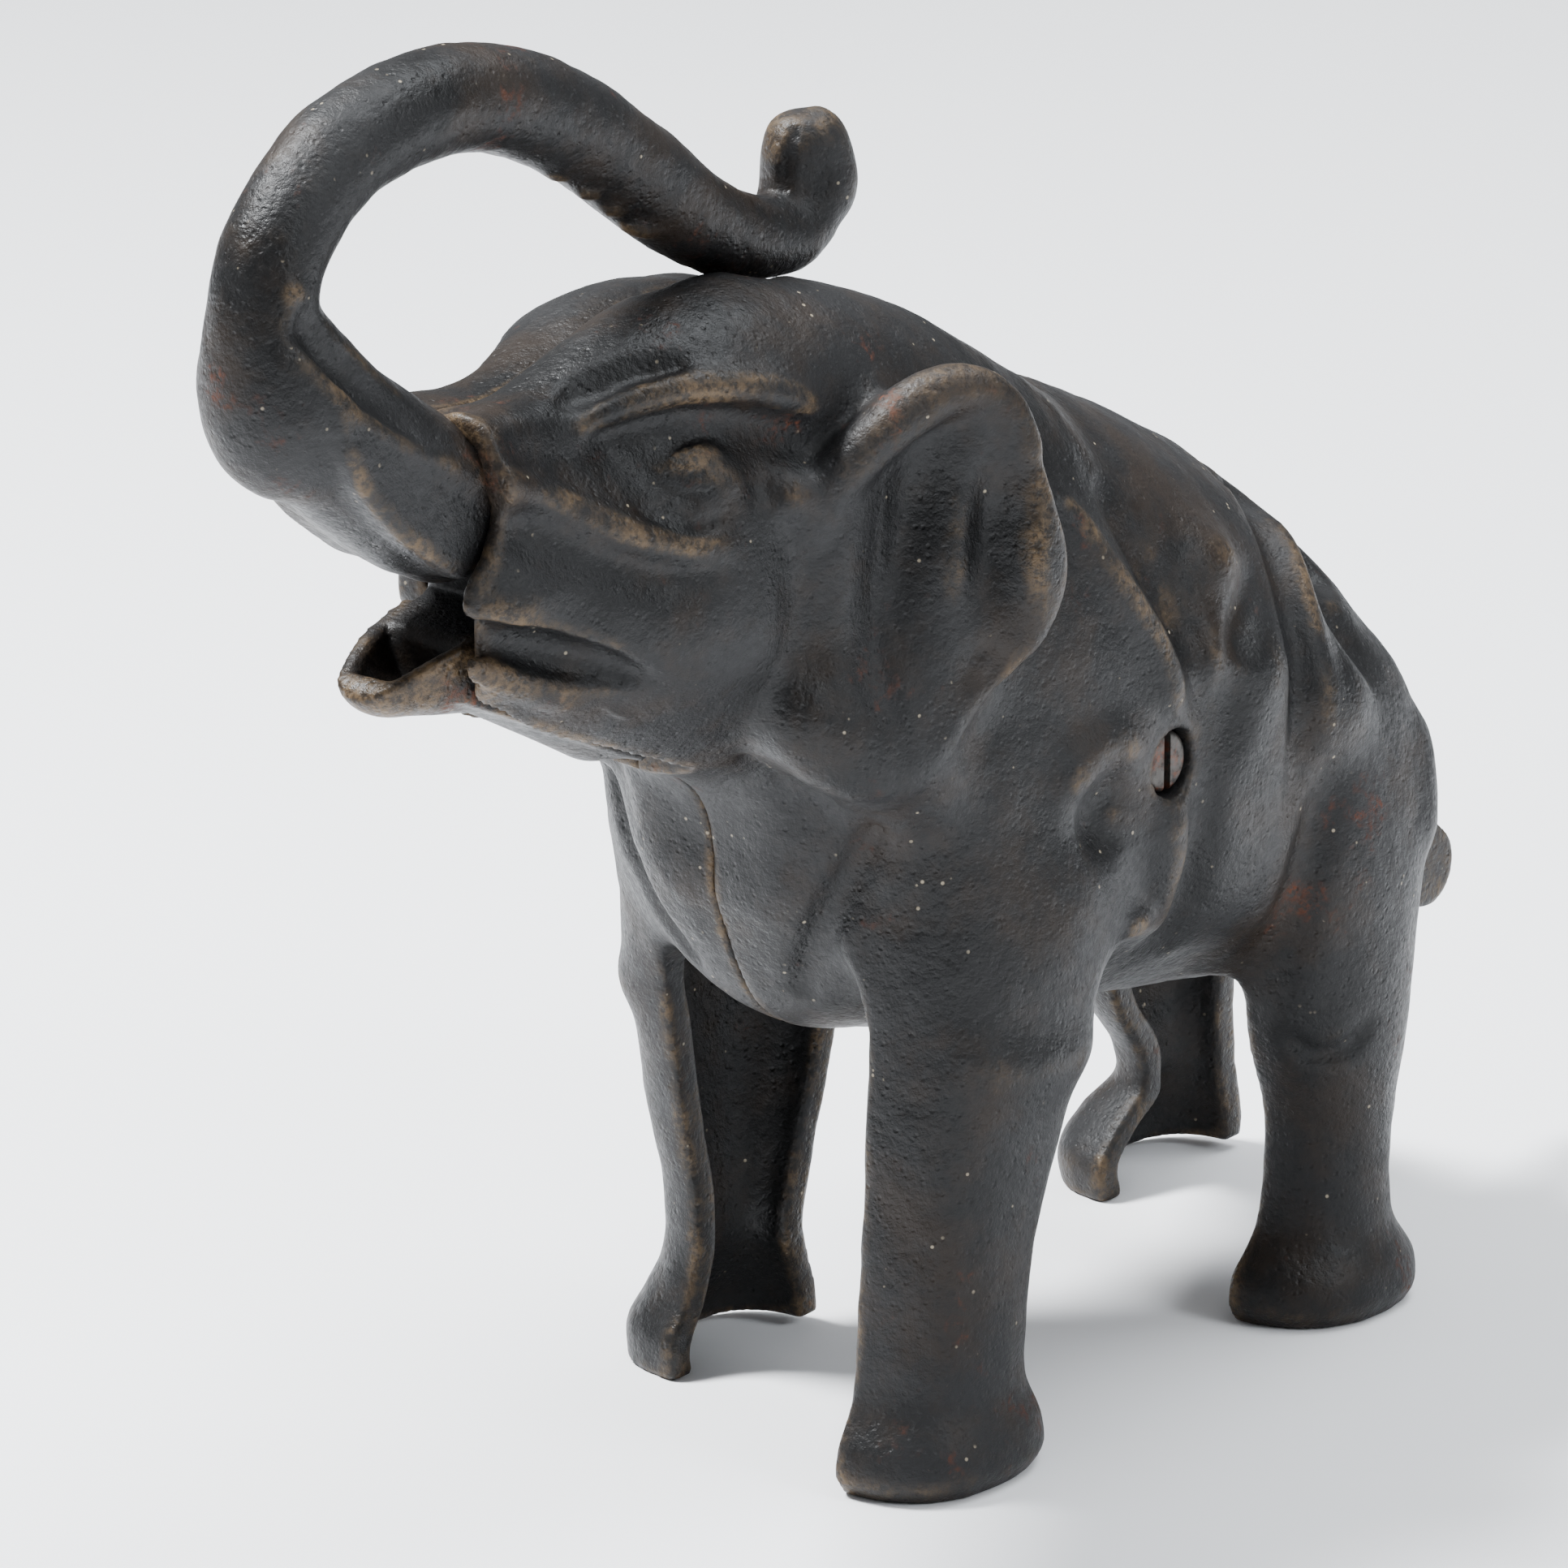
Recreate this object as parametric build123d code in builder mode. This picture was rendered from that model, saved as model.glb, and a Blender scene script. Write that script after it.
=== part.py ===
from build123d import *
from math import cos, pi, sin
import os

# Elephant coin bank in cast iron: two hollow body halves held by one screw, and a trunk lever
# that rocks on a pin inside the head.
# Frame: +Z up, the elephant faces -Y, its left side is +X, x = 0 is the parting plane of the two
# halves, z = 0 is the surface that the feet stand on, and y = 0 is the middle of the length.

# ---- driving dimensions, mm ----
wall = 2.6                      # casting wall of the body shell and the legs
leg_inner_x = 12.7              # open inner side of every leg
head_front_y = -55.0            # front rim of the head shell, where the trunk casting starts

coin_slot_front_y = 2.0
coin_slot_rear_y = 28.0
coin_slot_width = 3.0
coin_slot_floor_z = 60.0        # height the slot is cut from, inside the money chamber

# The front of the head is open for the lever: a tall gap at the rim and a slot under the chin.
opening_half_width = 5.4
opening_top_z = 89.0
opening_rear_y = -51.5
throat_rear_y = -31.0
throat_top_z = 72.0
throat_low_z = 54.0

screw_y = 9.5
screw_z = 53.0
screw_head_seat_x = 17.4
screw_head_radius = 2.45
screw_head_height = 2.0
screw_shank_radius = 1.5
screw_tip_x = -12.0
screw_hole_clearance = 0.2
screw_head_clearance = 0.35
screw_slot_width = 0.8
screw_slot_depth = 0.9
pillar_radius = 4.5
pillar_root_x = 19.4
tapped_depth = 15.0

pivot_y = -42.0
pivot_z = 70.0
pin_radius = 1.5
pin_half_length = 8.0
pin_running_clearance = 0.05
pin_seat_clearance = 0.02
socket_radius = 3.6
socket_face_x = 5.2
socket_root_x = 9.4

lever_half_width = 4.2
lever_boss_radius = 5.0
lever_boss_half_width = 5.0

# Locating pegs on the seam: they stand on the right half and enter the left one.
peg_radius = 0.8
peg_length = 1.5
peg_clearance = 0.1
peg_places = [(34.0, 68.6), (-19.0, 40.9)]

oval_points = 12                # points that draw each oval section

# Oval sections across the body: y, lowest z, highest z, half width.
head_sections = [
    (head_front_y, 66.8, 91.6, 8.6),
    (-45.0, 63.0, 93.8, 11.8),
    (-34.0, 59.0, 95.6, 14.3),
    (-22.0, 55.0, 95.2, 15.4),
    (-10.0, 50.0, 92.0, 16.2),
    (4.0, 46.0, 83.6, 17.6),
]
torso_sections = [
    (-22.0, 42.0, 62.0, 10.0),
    (-17.0, 36.0, 75.0, 16.0),
    (-6.0, 31.5, 86.0, 19.6),
    (8.0, 29.0, 82.0, 20.9),
    (22.0, 27.5, 76.4, 20.6),
    (36.0, 25.5, 69.0, 20.2),
    (47.0, 24.5, 60.0, 18.6),
    (56.0, 27.0, 50.0, 14.0),
    (61.0, 31.0, 41.0, 7.0),
]

# Oval sections of each leg, upwards from the floor: z, front y, rear y, outward reach from the
# open inner side. The feet are staggered, as in a walk.
legs = {
    "front_left": (1, [
        (0.0, -22.0, -3.0, 9.1),
        (3.0, -22.2, -2.8, 9.3),
        (9.0, -20.2, -4.2, 7.9),
        (20.0, -19.0, -2.5, 8.0),
        (30.0, -18.2, 1.5, 8.5),
        (42.0, -17.0, 6.0, 8.4),
        (56.0, -14.0, 2.0, 5.6),
    ]),
    "front_right": (-1, [
        (0.0, -13.0, 6.0, 9.1),
        (3.0, -13.2, 6.2, 9.3),
        (9.0, -12.4, 4.2, 7.9),
        (20.0, -14.6, 3.4, 8.0),
        (30.0, -15.2, 4.5, 8.5),
        (42.0, -17.0, 6.0, 8.4),
        (56.0, -14.0, 2.0, 5.6),
    ]),
    "hind_left": (1, [
        (0.0, 27.7, 45.7, 8.8),
        (3.0, 27.5, 45.9, 9.0),
        (9.0, 30.8, 43.8, 7.3),
        (15.0, 31.6, 43.6, 7.2),
        (24.0, 28.8, 47.0, 8.2),
        (40.0, 26.0, 50.0, 7.0),
        (52.0, 30.0, 44.0, 4.4),
    ]),
    "hind_right": (-1, [
        (0.0, 43.7, 61.7, 8.8),
        (3.0, 43.5, 61.9, 9.0),
        (9.0, 44.6, 57.8, 7.3),
        (15.0, 42.4, 54.8, 7.2),
        (24.0, 36.0, 54.0, 8.2),
        (40.0, 28.0, 52.0, 6.6),
        (52.0, 30.0, 44.0, 4.4),
    ]),
}

# Ear plate: it leaves the side of the head and flares outwards to the rear.
ear_root = (14.2, -24.0, 75.0)
ear_flare_deg = 32.0
ear_length = 21.0
ear_height = 29.0
ear_thickness = 2.6

# Centre line of the trunk in the parting plane: y, z.
trunk_line = [
    (-56.2, 84.6),
    (-60.5, 86.4),
    (-66.8, 91.4),
    (-71.4, 99.2),
    (-68.6, 107.2),
    (-61.4, 112.0),
    (-50.6, 113.4),
    (-40.0, 110.4),
    (-31.4, 105.3),
    (-25.0, 101.0),
    (-19.6, 98.2),
    (-13.4, 97.4),
    (-9.4, 100.2),
    (-9.8, 103.8),
]
# Trunk sections: fraction of the centre line, half depth in the parting plane, half width.
trunk_sections = [
    (0.00, 7.2, 7.0),
    (0.05, 7.2, 6.6),
    (0.11, 6.6, 5.8),
    (0.17, 5.1, 4.7),
    (0.25, 4.2, 4.3),
    (0.38, 3.9, 4.0),
    (0.50, 3.8, 3.9),
    (0.62, 3.6, 3.6),
    (0.73, 3.4, 3.4),
    (0.83, 2.9, 3.0),
    (0.91, 2.4, 2.7),
    (0.96, 2.1, 2.4),
    (1.00, 1.2, 1.6),
]

# Hidden root of the lever: the neck behind the trunk, the keel and the arm behind the pin.
lever_root_outline = [
    (-57.5, 87.6),
    (-49.0, 85.2),
    (-40.0, 77.0),
    (-24.0, 72.0),
    (-6.0, 72.0),
    (3.2, 72.4),
    (3.2, 70.8),
    (-4.0, 66.0),
    (-30.0, 62.8),
    (-34.6, 60.2),
    (-53.0, 66.2),
    (-58.0, 67.2),
    (-57.0, 70.2),
    (-51.0, 74.6),
    (-57.5, 79.0),
]
weight_half_width = 9.0
weight_front_y = -18.0
weight_rear_y = -2.0
weight_low_z = 60.5
weight_high_z = 73.5

# Lower jaw, an open scoop in front of the head: y, lowest z, height it would reach if whole,
# half width.
jaw_sections = [
    (-56.3, 66.4, 81.2, 5.6),
    (-60.0, 67.6, 80.0, 5.0),
    (-63.4, 70.4, 77.2, 2.8),
]
jaw_rim_z = 73.8
jaw_wall = 1.9

# Tail stub, cast on the right half.
tail_root = (0.0, 57.0, 33.5)
tail_tip = (0.0, 75.0, 24.0)
tail_root_radius = 3.6
tail_tip_radius = 1.8


def oval(plane, centre, half_x, half_y):
    """One oval face on a plane, drawn from the same start whichever way it is longer."""
    turns = [2 * pi * step / oval_points for step in range(oval_points)]
    points = [(centre[0] + half_x * cos(turn), centre[1] + half_y * sin(turn)) for turn in turns]
    with BuildSketch(plane) as section:
        with BuildLine():
            Spline(*points, periodic=True)
        make_face()
    return section.sketch


def oval_sections(stations, inset):
    """Upright oval faces across the body, each set in by the wall thickness."""
    faces = []
    for y, low_z, high_z, half_width in stations:
        centre = (0, (low_z + high_z) / 2)
        half_height = (high_z - low_z) / 2
        faces.append(oval(Plane.XZ.offset(-y), centre, half_width - inset, half_height - inset))
    return faces


def leg_sections(side, stations, inset):
    """Level oval faces up one leg, centred on its open inner side."""
    faces = []
    for z, front_y, rear_y, reach in stations:
        centre = (side * leg_inner_x, (front_y + rear_y) / 2)
        half_depth = (rear_y - front_y) / 2
        faces.append(oval(Plane.XY.offset(z), centre, reach - inset, half_depth - inset))
    return faces


def leg_channel(side, stations):
    """One leg as a half shell, open towards the middle of the bank."""
    low, high = stations[0], stations[-1]
    inner_stations = [(low[0] - wall, *low[1:])] + stations + [(high[0] + wall, *high[1:])]
    open_side = Plane((side * leg_inner_x, 0, 0), z_dir=(side, 0, 0))
    with BuildPart() as leg:
        loft(leg_sections(side, stations, 0), ruled=True)
        loft(leg_sections(side, inner_stations, wall), ruled=True, mode=Mode.SUBTRACT)
        split(bisect_by=open_side, keep=Keep.TOP)
    return leg.part


def ear_plate(side):
    """One ear, a rounded plate set at the flare angle."""
    flare = Rotation(0, 0, -side * ear_flare_deg)
    across = Vector(0, 1, 0).rotate(Axis.Z, -side * ear_flare_deg)
    root = Vector(side * ear_root[0], ear_root[1], ear_root[2])
    face_plane = Plane(root + across * (ear_length / 2), x_dir=across, z_dir=across.cross(Vector(0, 0, 1)))
    with BuildPart() as ear:
        with BuildSketch(face_plane):
            Ellipse(ear_length / 2, ear_height / 2)
        extrude(amount=ear_thickness / 2, both=True)
    return ear.part


def shell_cavity():
    """Hollow inside the head and the torso, open at the front of the head."""
    mouth = (head_front_y - wall, *head_sections[0][1:])
    first, *middle, last = torso_sections
    torso_stations = [(first[0] + wall, *first[1:])] + middle + [(last[0] - wall, *last[1:])]
    with BuildPart() as cavity:
        loft(oval_sections([mouth] + head_sections, wall))
        loft(oval_sections(torso_stations, wall))
    return cavity.part


# ---- the body before it is parted ----
with BuildPart() as body_shell:
    loft(oval_sections(head_sections, 0))
    loft(oval_sections(torso_sections, 0))
    for side in (1, -1):
        add(ear_plate(side))
    for side, stations in legs.values():
        add(leg_channel(side, stations))
    add(shell_cavity(), mode=Mode.SUBTRACT)
    with BuildSketch(Plane.XY.offset(coin_slot_floor_z)):
        with Locations((0, (coin_slot_front_y + coin_slot_rear_y) / 2)):
            Rectangle(coin_slot_width, coin_slot_rear_y - coin_slot_front_y)
    extrude(amount=coin_slot_floor_z, mode=Mode.SUBTRACT)
    for rear_y, low_z, high_z in (
        (opening_rear_y, throat_low_z, opening_top_z),
        (throat_rear_y, throat_low_z, throat_top_z),
    ):
        front_y = head_front_y - wall
        with BuildSketch(Plane.XY.offset(low_z)):
            with Locations((0, (front_y + rear_y) / 2)):
                Rectangle(2 * opening_half_width, rear_y - front_y)
        extrude(amount=high_z - low_z, mode=Mode.SUBTRACT)

pin_plane = Plane((0, pivot_y, pivot_z), x_dir=(0, 1, 0), z_dir=(1, 0, 0))
screw_plane = Plane((0, screw_y, screw_z), x_dir=(0, 1, 0), z_dir=(1, 0, 0))


def rod(plane, radius, from_x, to_x):
    """Solid cylinder along X between two places, centred on a plane that faces along X."""
    with BuildPart() as cylinder:
        with BuildSketch(plane.offset(from_x)):
            Circle(radius)
        extrude(amount=to_x - from_x)
    return cylinder.part


def pegs(radius, from_x, to_x):
    """The locating pegs, or their sockets, all along the seam."""
    with BuildPart() as row:
        for y, z in peg_places:
            add(rod(Plane((0, y, z), x_dir=(0, 1, 0), z_dir=(1, 0, 0)), radius, from_x, to_x))
    return row.part


# ---- left half: screw clearance hole, head recess and one pin socket ----
with BuildPart() as left_body_half:
    add(body_shell.part)
    split(bisect_by=Plane.YZ, keep=Keep.TOP)
    add(rod(screw_plane, pillar_radius, 0, pillar_root_x))
    add(rod(pin_plane, socket_radius, socket_face_x, socket_root_x))
    hole_radius = screw_shank_radius + screw_hole_clearance
    add(rod(screw_plane, hole_radius, -1, pillar_root_x), mode=Mode.SUBTRACT)
    recess_radius = screw_head_radius + screw_head_clearance
    add(rod(screw_plane, recess_radius, screw_head_seat_x, 2 * pillar_root_x), mode=Mode.SUBTRACT)
    seat_radius = pin_radius + pin_seat_clearance
    add(rod(pin_plane, seat_radius, 0, pin_half_length + pin_seat_clearance), mode=Mode.SUBTRACT)
    add(pegs(peg_radius + peg_clearance, -1, peg_length + peg_clearance), mode=Mode.SUBTRACT)

# ---- tail stub, cast in one with the right half ----
with BuildPart() as tail:
    tail_axis = Vector(*tail_tip) - Vector(*tail_root)
    root_plane = Plane(tail_root, z_dir=tail_axis)
    with BuildSketch(root_plane):
        Circle(tail_root_radius)
    with BuildSketch(root_plane.offset(tail_axis.length)):
        Circle(tail_tip_radius)
    loft()
    fillet(tail.edges().sort_by(Axis.Y)[-1], tail_tip_radius * 0.6)
    add(shell_cavity(), mode=Mode.SUBTRACT)
    add(left_body_half.part, mode=Mode.SUBTRACT)

# ---- right half: tapped pillar, the other pin socket, pegs and tail ----
with BuildPart() as right_body_half:
    add(body_shell.part)
    split(bisect_by=Plane.YZ, keep=Keep.BOTTOM)
    add(tail.part)
    add(rod(screw_plane, pillar_radius, -pillar_root_x, 0))
    add(rod(pin_plane, socket_radius, -socket_root_x, -socket_face_x))
    tapped_radius = screw_shank_radius + pin_seat_clearance
    add(rod(screw_plane, tapped_radius, -tapped_depth, 1), mode=Mode.SUBTRACT)
    add(rod(pin_plane, seat_radius, -pin_half_length - pin_seat_clearance, 0), mode=Mode.SUBTRACT)
    add(pegs(peg_radius, -peg_length, peg_length))

# ---- trunk lever: trunk, lower jaw, keel, pivot boss and counterweight in one casting ----
with BuildPart() as jaw:
    loft(oval_sections(jaw_sections, 0))
    *rear_sections, (tip_y, tip_low, tip_high, tip_width) = jaw_sections
    hollow_sections = rear_sections + [(tip_y + jaw_wall, tip_low, tip_high, tip_width)]
    loft(oval_sections(hollow_sections, jaw_wall), mode=Mode.SUBTRACT)
    split(bisect_by=Plane.XY.offset(jaw_rim_z), keep=Keep.BOTTOM)

with BuildPart() as trunk_lever:
    with BuildLine(Plane.YZ, mode=Mode.PRIVATE) as trunk_path:
        Spline(*trunk_line, tangents=[(-1, 0), (0.2, 1)])
    trunk_faces = []
    for fraction, half_depth, half_width in trunk_sections:
        line = trunk_path.line
        place = Plane(line @ fraction, x_dir=(1, 0, 0), z_dir=line % fraction)
        trunk_faces.append(oval(place, (0, 0), half_width, half_depth))
    loft(trunk_faces)
    with BuildSketch(Plane.YZ):
        with BuildLine():
            Polyline(*lever_root_outline, close=True)
        make_face()
    extrude(amount=lever_half_width, both=True)
    add(jaw.part)
    add(rod(pin_plane, lever_boss_radius, -lever_boss_half_width, lever_boss_half_width))
    with BuildSketch(Plane.XY.offset(weight_low_z)):
        with Locations((0, (weight_front_y + weight_rear_y) / 2)):
            Rectangle(2 * weight_half_width, weight_rear_y - weight_front_y)
    extrude(amount=weight_high_z - weight_low_z)
    bore_radius = pin_radius + pin_running_clearance
    add(rod(pin_plane, bore_radius, -2 * pin_half_length, 2 * pin_half_length), mode=Mode.SUBTRACT)

# ---- pivot pin: plain steel rod held in the two sockets ----
with BuildPart() as trunk_pivot_pin:
    add(rod(pin_plane, pin_radius, -pin_half_length, pin_half_length))
    chamfer(trunk_pivot_pin.edges().filter_by(GeomType.CIRCLE), pin_radius * 0.15)

# ---- assembly screw: slotted cheese head and a plain shank ----
with BuildPart() as assembly_screw:
    head_face_x = screw_head_seat_x + screw_head_height
    add(rod(screw_plane, screw_head_radius, screw_head_seat_x, head_face_x))
    fillet(assembly_screw.edges().sort_by(Axis.X)[-1], screw_head_height * 0.25)
    add(rod(screw_plane, screw_shank_radius, screw_tip_x, screw_head_seat_x))
    chamfer(assembly_screw.edges().sort_by(Axis.X)[0], screw_shank_radius * 0.3)
    with BuildSketch(screw_plane.offset(head_face_x)):
        Rectangle(screw_slot_width, 2 * screw_head_radius)
    extrude(amount=-screw_slot_depth, mode=Mode.SUBTRACT)

pieces = {
    "left_body_half": left_body_half,
    "right_body_half": right_body_half,
    "trunk_lever": trunk_lever,
    "trunk_pivot_pin": trunk_pivot_pin,
    "assembly_screw": assembly_screw,
}
os.makedirs("parts", exist_ok=True)
for name, piece in pieces.items():
    piece.part.label = name
    export_step(piece.part, f"parts/{name}.step")
    print(name, piece.part.is_valid, round(piece.part.volume), "mm3", piece.part.bounding_box())
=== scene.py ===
from math import cos, radians, sin

import bpy
import numpy as np
from mathutils import Euler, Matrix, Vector


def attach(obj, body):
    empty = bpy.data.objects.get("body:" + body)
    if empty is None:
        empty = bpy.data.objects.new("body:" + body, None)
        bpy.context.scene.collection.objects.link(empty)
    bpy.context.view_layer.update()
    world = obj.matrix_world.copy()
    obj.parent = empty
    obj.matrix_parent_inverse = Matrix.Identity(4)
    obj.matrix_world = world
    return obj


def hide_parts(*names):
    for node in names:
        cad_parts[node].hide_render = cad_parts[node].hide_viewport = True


# Elephant coin bank in cast iron. The two body halves and the trunk lever are sculpted as clay on a
# grid of signed distance, in millimetres, and skinned to meshes in metres in the frame of the model.
# +Z is up, the elephant faces -Y, its left side is +X and x = 0 is the parting plane.

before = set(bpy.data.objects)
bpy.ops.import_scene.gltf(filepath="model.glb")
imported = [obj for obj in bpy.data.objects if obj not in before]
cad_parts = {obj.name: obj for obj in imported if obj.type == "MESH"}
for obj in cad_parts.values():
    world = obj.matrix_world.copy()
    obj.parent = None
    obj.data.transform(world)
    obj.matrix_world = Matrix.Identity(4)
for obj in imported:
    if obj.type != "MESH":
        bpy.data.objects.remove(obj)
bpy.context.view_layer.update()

MM = 0.001
FAR = 50.0


# -------- clay

def smooth_min(a, b, blend):
    near = np.maximum(blend - np.abs(a - b), 0.0)
    return np.minimum(a, b) - near * near / (4 * blend)


def smooth_max(a, b, blend):
    return -smooth_min(-a, -b, blend)


def eased(stations, values, at):
    """A smooth curve through a few stations, flat beyond its ends."""
    stations = np.asarray(stations, float)
    values = np.asarray(values, float)
    slopes = np.gradient(values, stations)
    at = np.clip(at, stations[0], stations[-1])
    span = np.clip(np.searchsorted(stations, at, side="right") - 1, 0, len(stations) - 2)
    width = stations[span + 1] - stations[span]
    t = (at - stations[span]) / width
    start, end = values[span], values[span + 1]
    rise = (slopes[span] * width, slopes[span + 1] * width)
    return (
        start * (2 * t ** 3 - 3 * t ** 2 + 1) + end * (3 * t ** 2 - 2 * t ** 3)
        + rise[0] * (t ** 3 - 2 * t ** 2 + t) + rise[1] * (t ** 3 - t ** 2)
    )


def smooth_line(points, per_span=6):
    """Points along a smooth curve through a few points, each with any number of values."""
    points = np.asarray(points, float)
    steps = np.arange(len(points), dtype=float)
    at = np.linspace(0, len(points) - 1, (len(points) - 1) * per_span + 1)
    columns = [eased(steps, column, at) for column in points.T]
    return np.stack(columns, axis=1)


# The side of the body is worked along this line of sight, from the front left and a little above.
SIGHT = np.array((0.615, -0.733, 0.292))
SETTLE_REACH = 7
SETTLE_STEP = 0.25
# How far round a place its relief is judged, in millimetres, and the most triangles of one piece.
FINE_RELIEF = 1.0
BROAD_RELIEF = 3.0
MOST_TRIANGLES = 190000


class Clay:
    """A block of clay: signed distance in mm on a grid, negative inside, worked with local strokes."""

    def __init__(self, low, high, step):
        self.step = step
        self.low = np.array(low, float)
        self.axes = [
            np.arange(start, end + step, step, dtype=np.float32) for start, end in zip(low, high)
        ]
        self.d = np.full([len(axis) for axis in self.axes], FAR, np.float32)

    def grid(self):
        """Coordinates of the whole grid."""
        x, y, z = self.axes
        return x[:, None, None], y[None, :, None], z[None, None, :]

    def region(self, low, high):
        """The part of the grid inside a box, and its coordinates."""
        cut = []
        for axis, start, end in zip(self.axes, low, high):
            first, last = np.searchsorted(axis, [start, end])
            cut.append(slice(max(first - 1, 0), last + 1))
        x, y, z = (axis[part] for axis, part in zip(self.axes, cut))
        return tuple(cut), x[:, None, None], y[None, :, None], z[None, None, :]

    def local(self, centre, turn, x, y, z):
        """Coordinates about a centre, in axes turned by degrees about X, Y and Z."""
        x, y, z = x - centre[0], y - centre[1], z - centre[2]
        if turn is None:
            return x, y, z
        rows = np.array(Euler([radians(angle) for angle in turn]).to_matrix()).T
        return tuple(row[0] * x + row[1] * y + row[2] * z for row in rows)

    def lump(self, centre, radii, turn=None, blend=3.0, carve=False):
        """Add an ellipsoid of clay, or carve one away."""
        reach = max(radii) + blend + 2
        cut, x, y, z = self.region([c - reach for c in centre], [c + reach for c in centre])
        if self.d[cut].size == 0:
            return
        x, y, z = self.local(centre, turn, x, y, z)
        level = np.sqrt((x / radii[0]) ** 2 + (y / radii[1]) ** 2 + (z / radii[2]) ** 2)
        slope = np.sqrt((x / radii[0] ** 2) ** 2 + (y / radii[1] ** 2) ** 2 + (z / radii[2] ** 2) ** 2)
        shape = level * (level - 1) / np.maximum(slope, 1e-4)
        if carve:
            self.d[cut] = smooth_max(self.d[cut], -shape, blend)
        else:
            self.d[cut] = smooth_min(self.d[cut], shape, blend)

    def rods(self, points, x, y, z):
        """Distance to a chain of tapered rods: points are x, y, z and radius."""
        nearest = np.full(np.broadcast(x, y, z).shape, FAR, np.float32)
        for start, end in zip(points[:-1], points[1:]):
            along = end[:3] - start[:3]
            length_squared = max(float(along @ along), 1e-6)
            dx, dy, dz = x - start[0], y - start[1], z - start[2]
            t = np.clip((dx * along[0] + dy * along[1] + dz * along[2]) / length_squared, 0, 1)
            apart = np.sqrt(
                (dx - t * along[0]) ** 2 + (dy - t * along[1]) ** 2 + (dz - t * along[2]) ** 2
            )
            np.minimum(nearest, apart - (start[3] + (end[3] - start[3]) * t), out=nearest)
        return nearest

    def box_of(self, points, reach):
        """The corners of a box around points, with a margin."""
        points = np.asarray(points, float)
        return points[:, :3].min(axis=0) - reach, points[:, :3].max(axis=0) + reach

    def limb(self, points, blend=3.0, carve=False):
        """Add or carve a smooth tapered limb through points of x, y, z and radius."""
        chain = smooth_line(points)
        cut, x, y, z = self.region(*self.box_of(chain, chain[:, 3].max() + blend + 2))
        shape = self.rods(chain, x, y, z)
        if carve:
            self.d[cut] = smooth_max(self.d[cut], -shape, blend)
        else:
            self.d[cut] = smooth_min(self.d[cut], shape, blend)

    def settle(self, points):
        """Slide points along the sculptor's line of sight onto the nearest surface."""
        points = np.atleast_2d(np.asarray(points, float))[:, :3]
        travel = np.arange(-SETTLE_REACH, SETTLE_REACH + SETTLE_STEP / 2, SETTLE_STEP)
        order = np.argsort(np.abs(travel[:-1]), kind="stable")
        settled = []
        for point in points:
            line = (point + travel[:, None] * SIGHT - self.low) / self.step
            depth = self.sample(self.d, line)
            enters = (depth[:-1] <= 0) & (depth[1:] > 0)
            hit = next((i for i in order if enters[i]), None)
            if hit is None:
                settled.append(point)
            else:
                part = depth[hit] / (depth[hit] - depth[hit + 1])
                settled.append(point + (travel[hit] + SETTLE_STEP * part) * SIGHT)
        return np.array(settled)

    def swell(self, centre, radii, height, turn=None, loose=False):
        """Raise the surface by a soft bump, or press a dent of negative height."""
        if not loose:
            centre = self.settle(centre)[0]
        reach = 2.4 * max(radii)
        cut, x, y, z = self.region([c - reach for c in centre], [c + reach for c in centre])
        if self.d[cut].size == 0:
            return
        x, y, z = self.local(centre, turn, x, y, z)
        spread = (x / radii[0]) ** 2 + (y / radii[1]) ** 2 + (z / radii[2]) ** 2
        self.d[cut] -= height * np.exp(-spread)

    def stroke(self, points, width, height):
        """Raise a soft ridge along a curve, or press a groove of negative height, fading at its ends."""
        points = self.settle(smooth_line(points))
        chain = np.concatenate([points, np.zeros((len(points), 1))], axis=1)
        along = np.linspace(0, 1, len(chain))
        chain[:, 3] = -np.minimum(np.minimum(along, 1 - along) * 5, 1)
        cut, x, y, z = self.region(*self.box_of(chain, 2.6 * width))
        if self.d[cut].size == 0:
            return
        total = np.zeros(np.broadcast(x, y, z).shape, np.float32)
        for start, end in zip(chain[:-1], chain[1:]):
            path = end[:3] - start[:3]
            length_squared = max(float(path @ path), 1e-6)
            dx, dy, dz = x - start[0], y - start[1], z - start[2]
            t = np.clip((dx * path[0] + dy * path[1] + dz * path[2]) / length_squared, 0, 1)
            apart = (dx - t * path[0]) ** 2 + (dy - t * path[1]) ** 2 + (dz - t * path[2]) ** 2
            strength = -(start[3] + (end[3] - start[3]) * t)
            np.maximum(total, strength * np.exp(-apart / width ** 2), out=total)
        self.d[cut] -= height * total

    def grain(self, size, height, seed):
        """Uneven the whole surface with soft random lumps of about one size."""
        counts = [int(len(axis) * self.step / size) + 3 for axis in self.axes]
        lattice = np.random.default_rng(seed).uniform(-1, 1, counts)
        for direction, axis in enumerate(self.axes):
            place = (axis - axis[0]) / size
            first = np.floor(place).astype(int)
            part = place - first
            part = part * part * (3 - 2 * part)
            shape = [1, 1, 1]
            shape[direction] = len(axis)
            part = part.reshape(shape)
            before = np.take(lattice, first, axis=direction)
            after = np.take(lattice, first + 1, axis=direction)
            lattice = before * (1 - part) + after * part
        self.d += (height * lattice).astype(np.float32)

    def gouge(self, points, radius, blend=0.6):
        """Cut a sharp groove along a curve on the surface, tapered at both ends."""
        points = self.settle(smooth_line(points))
        along = np.linspace(-1, 1, len(points))[:, None]
        chain = np.concatenate([points, radius * (1 - 0.8 * along ** 2)], axis=1)
        cut, x, y, z = self.region(*self.box_of(chain, radius + blend + 2))
        self.d[cut] = smooth_max(self.d[cut], -self.rods(chain, x, y, z), blend)

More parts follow.
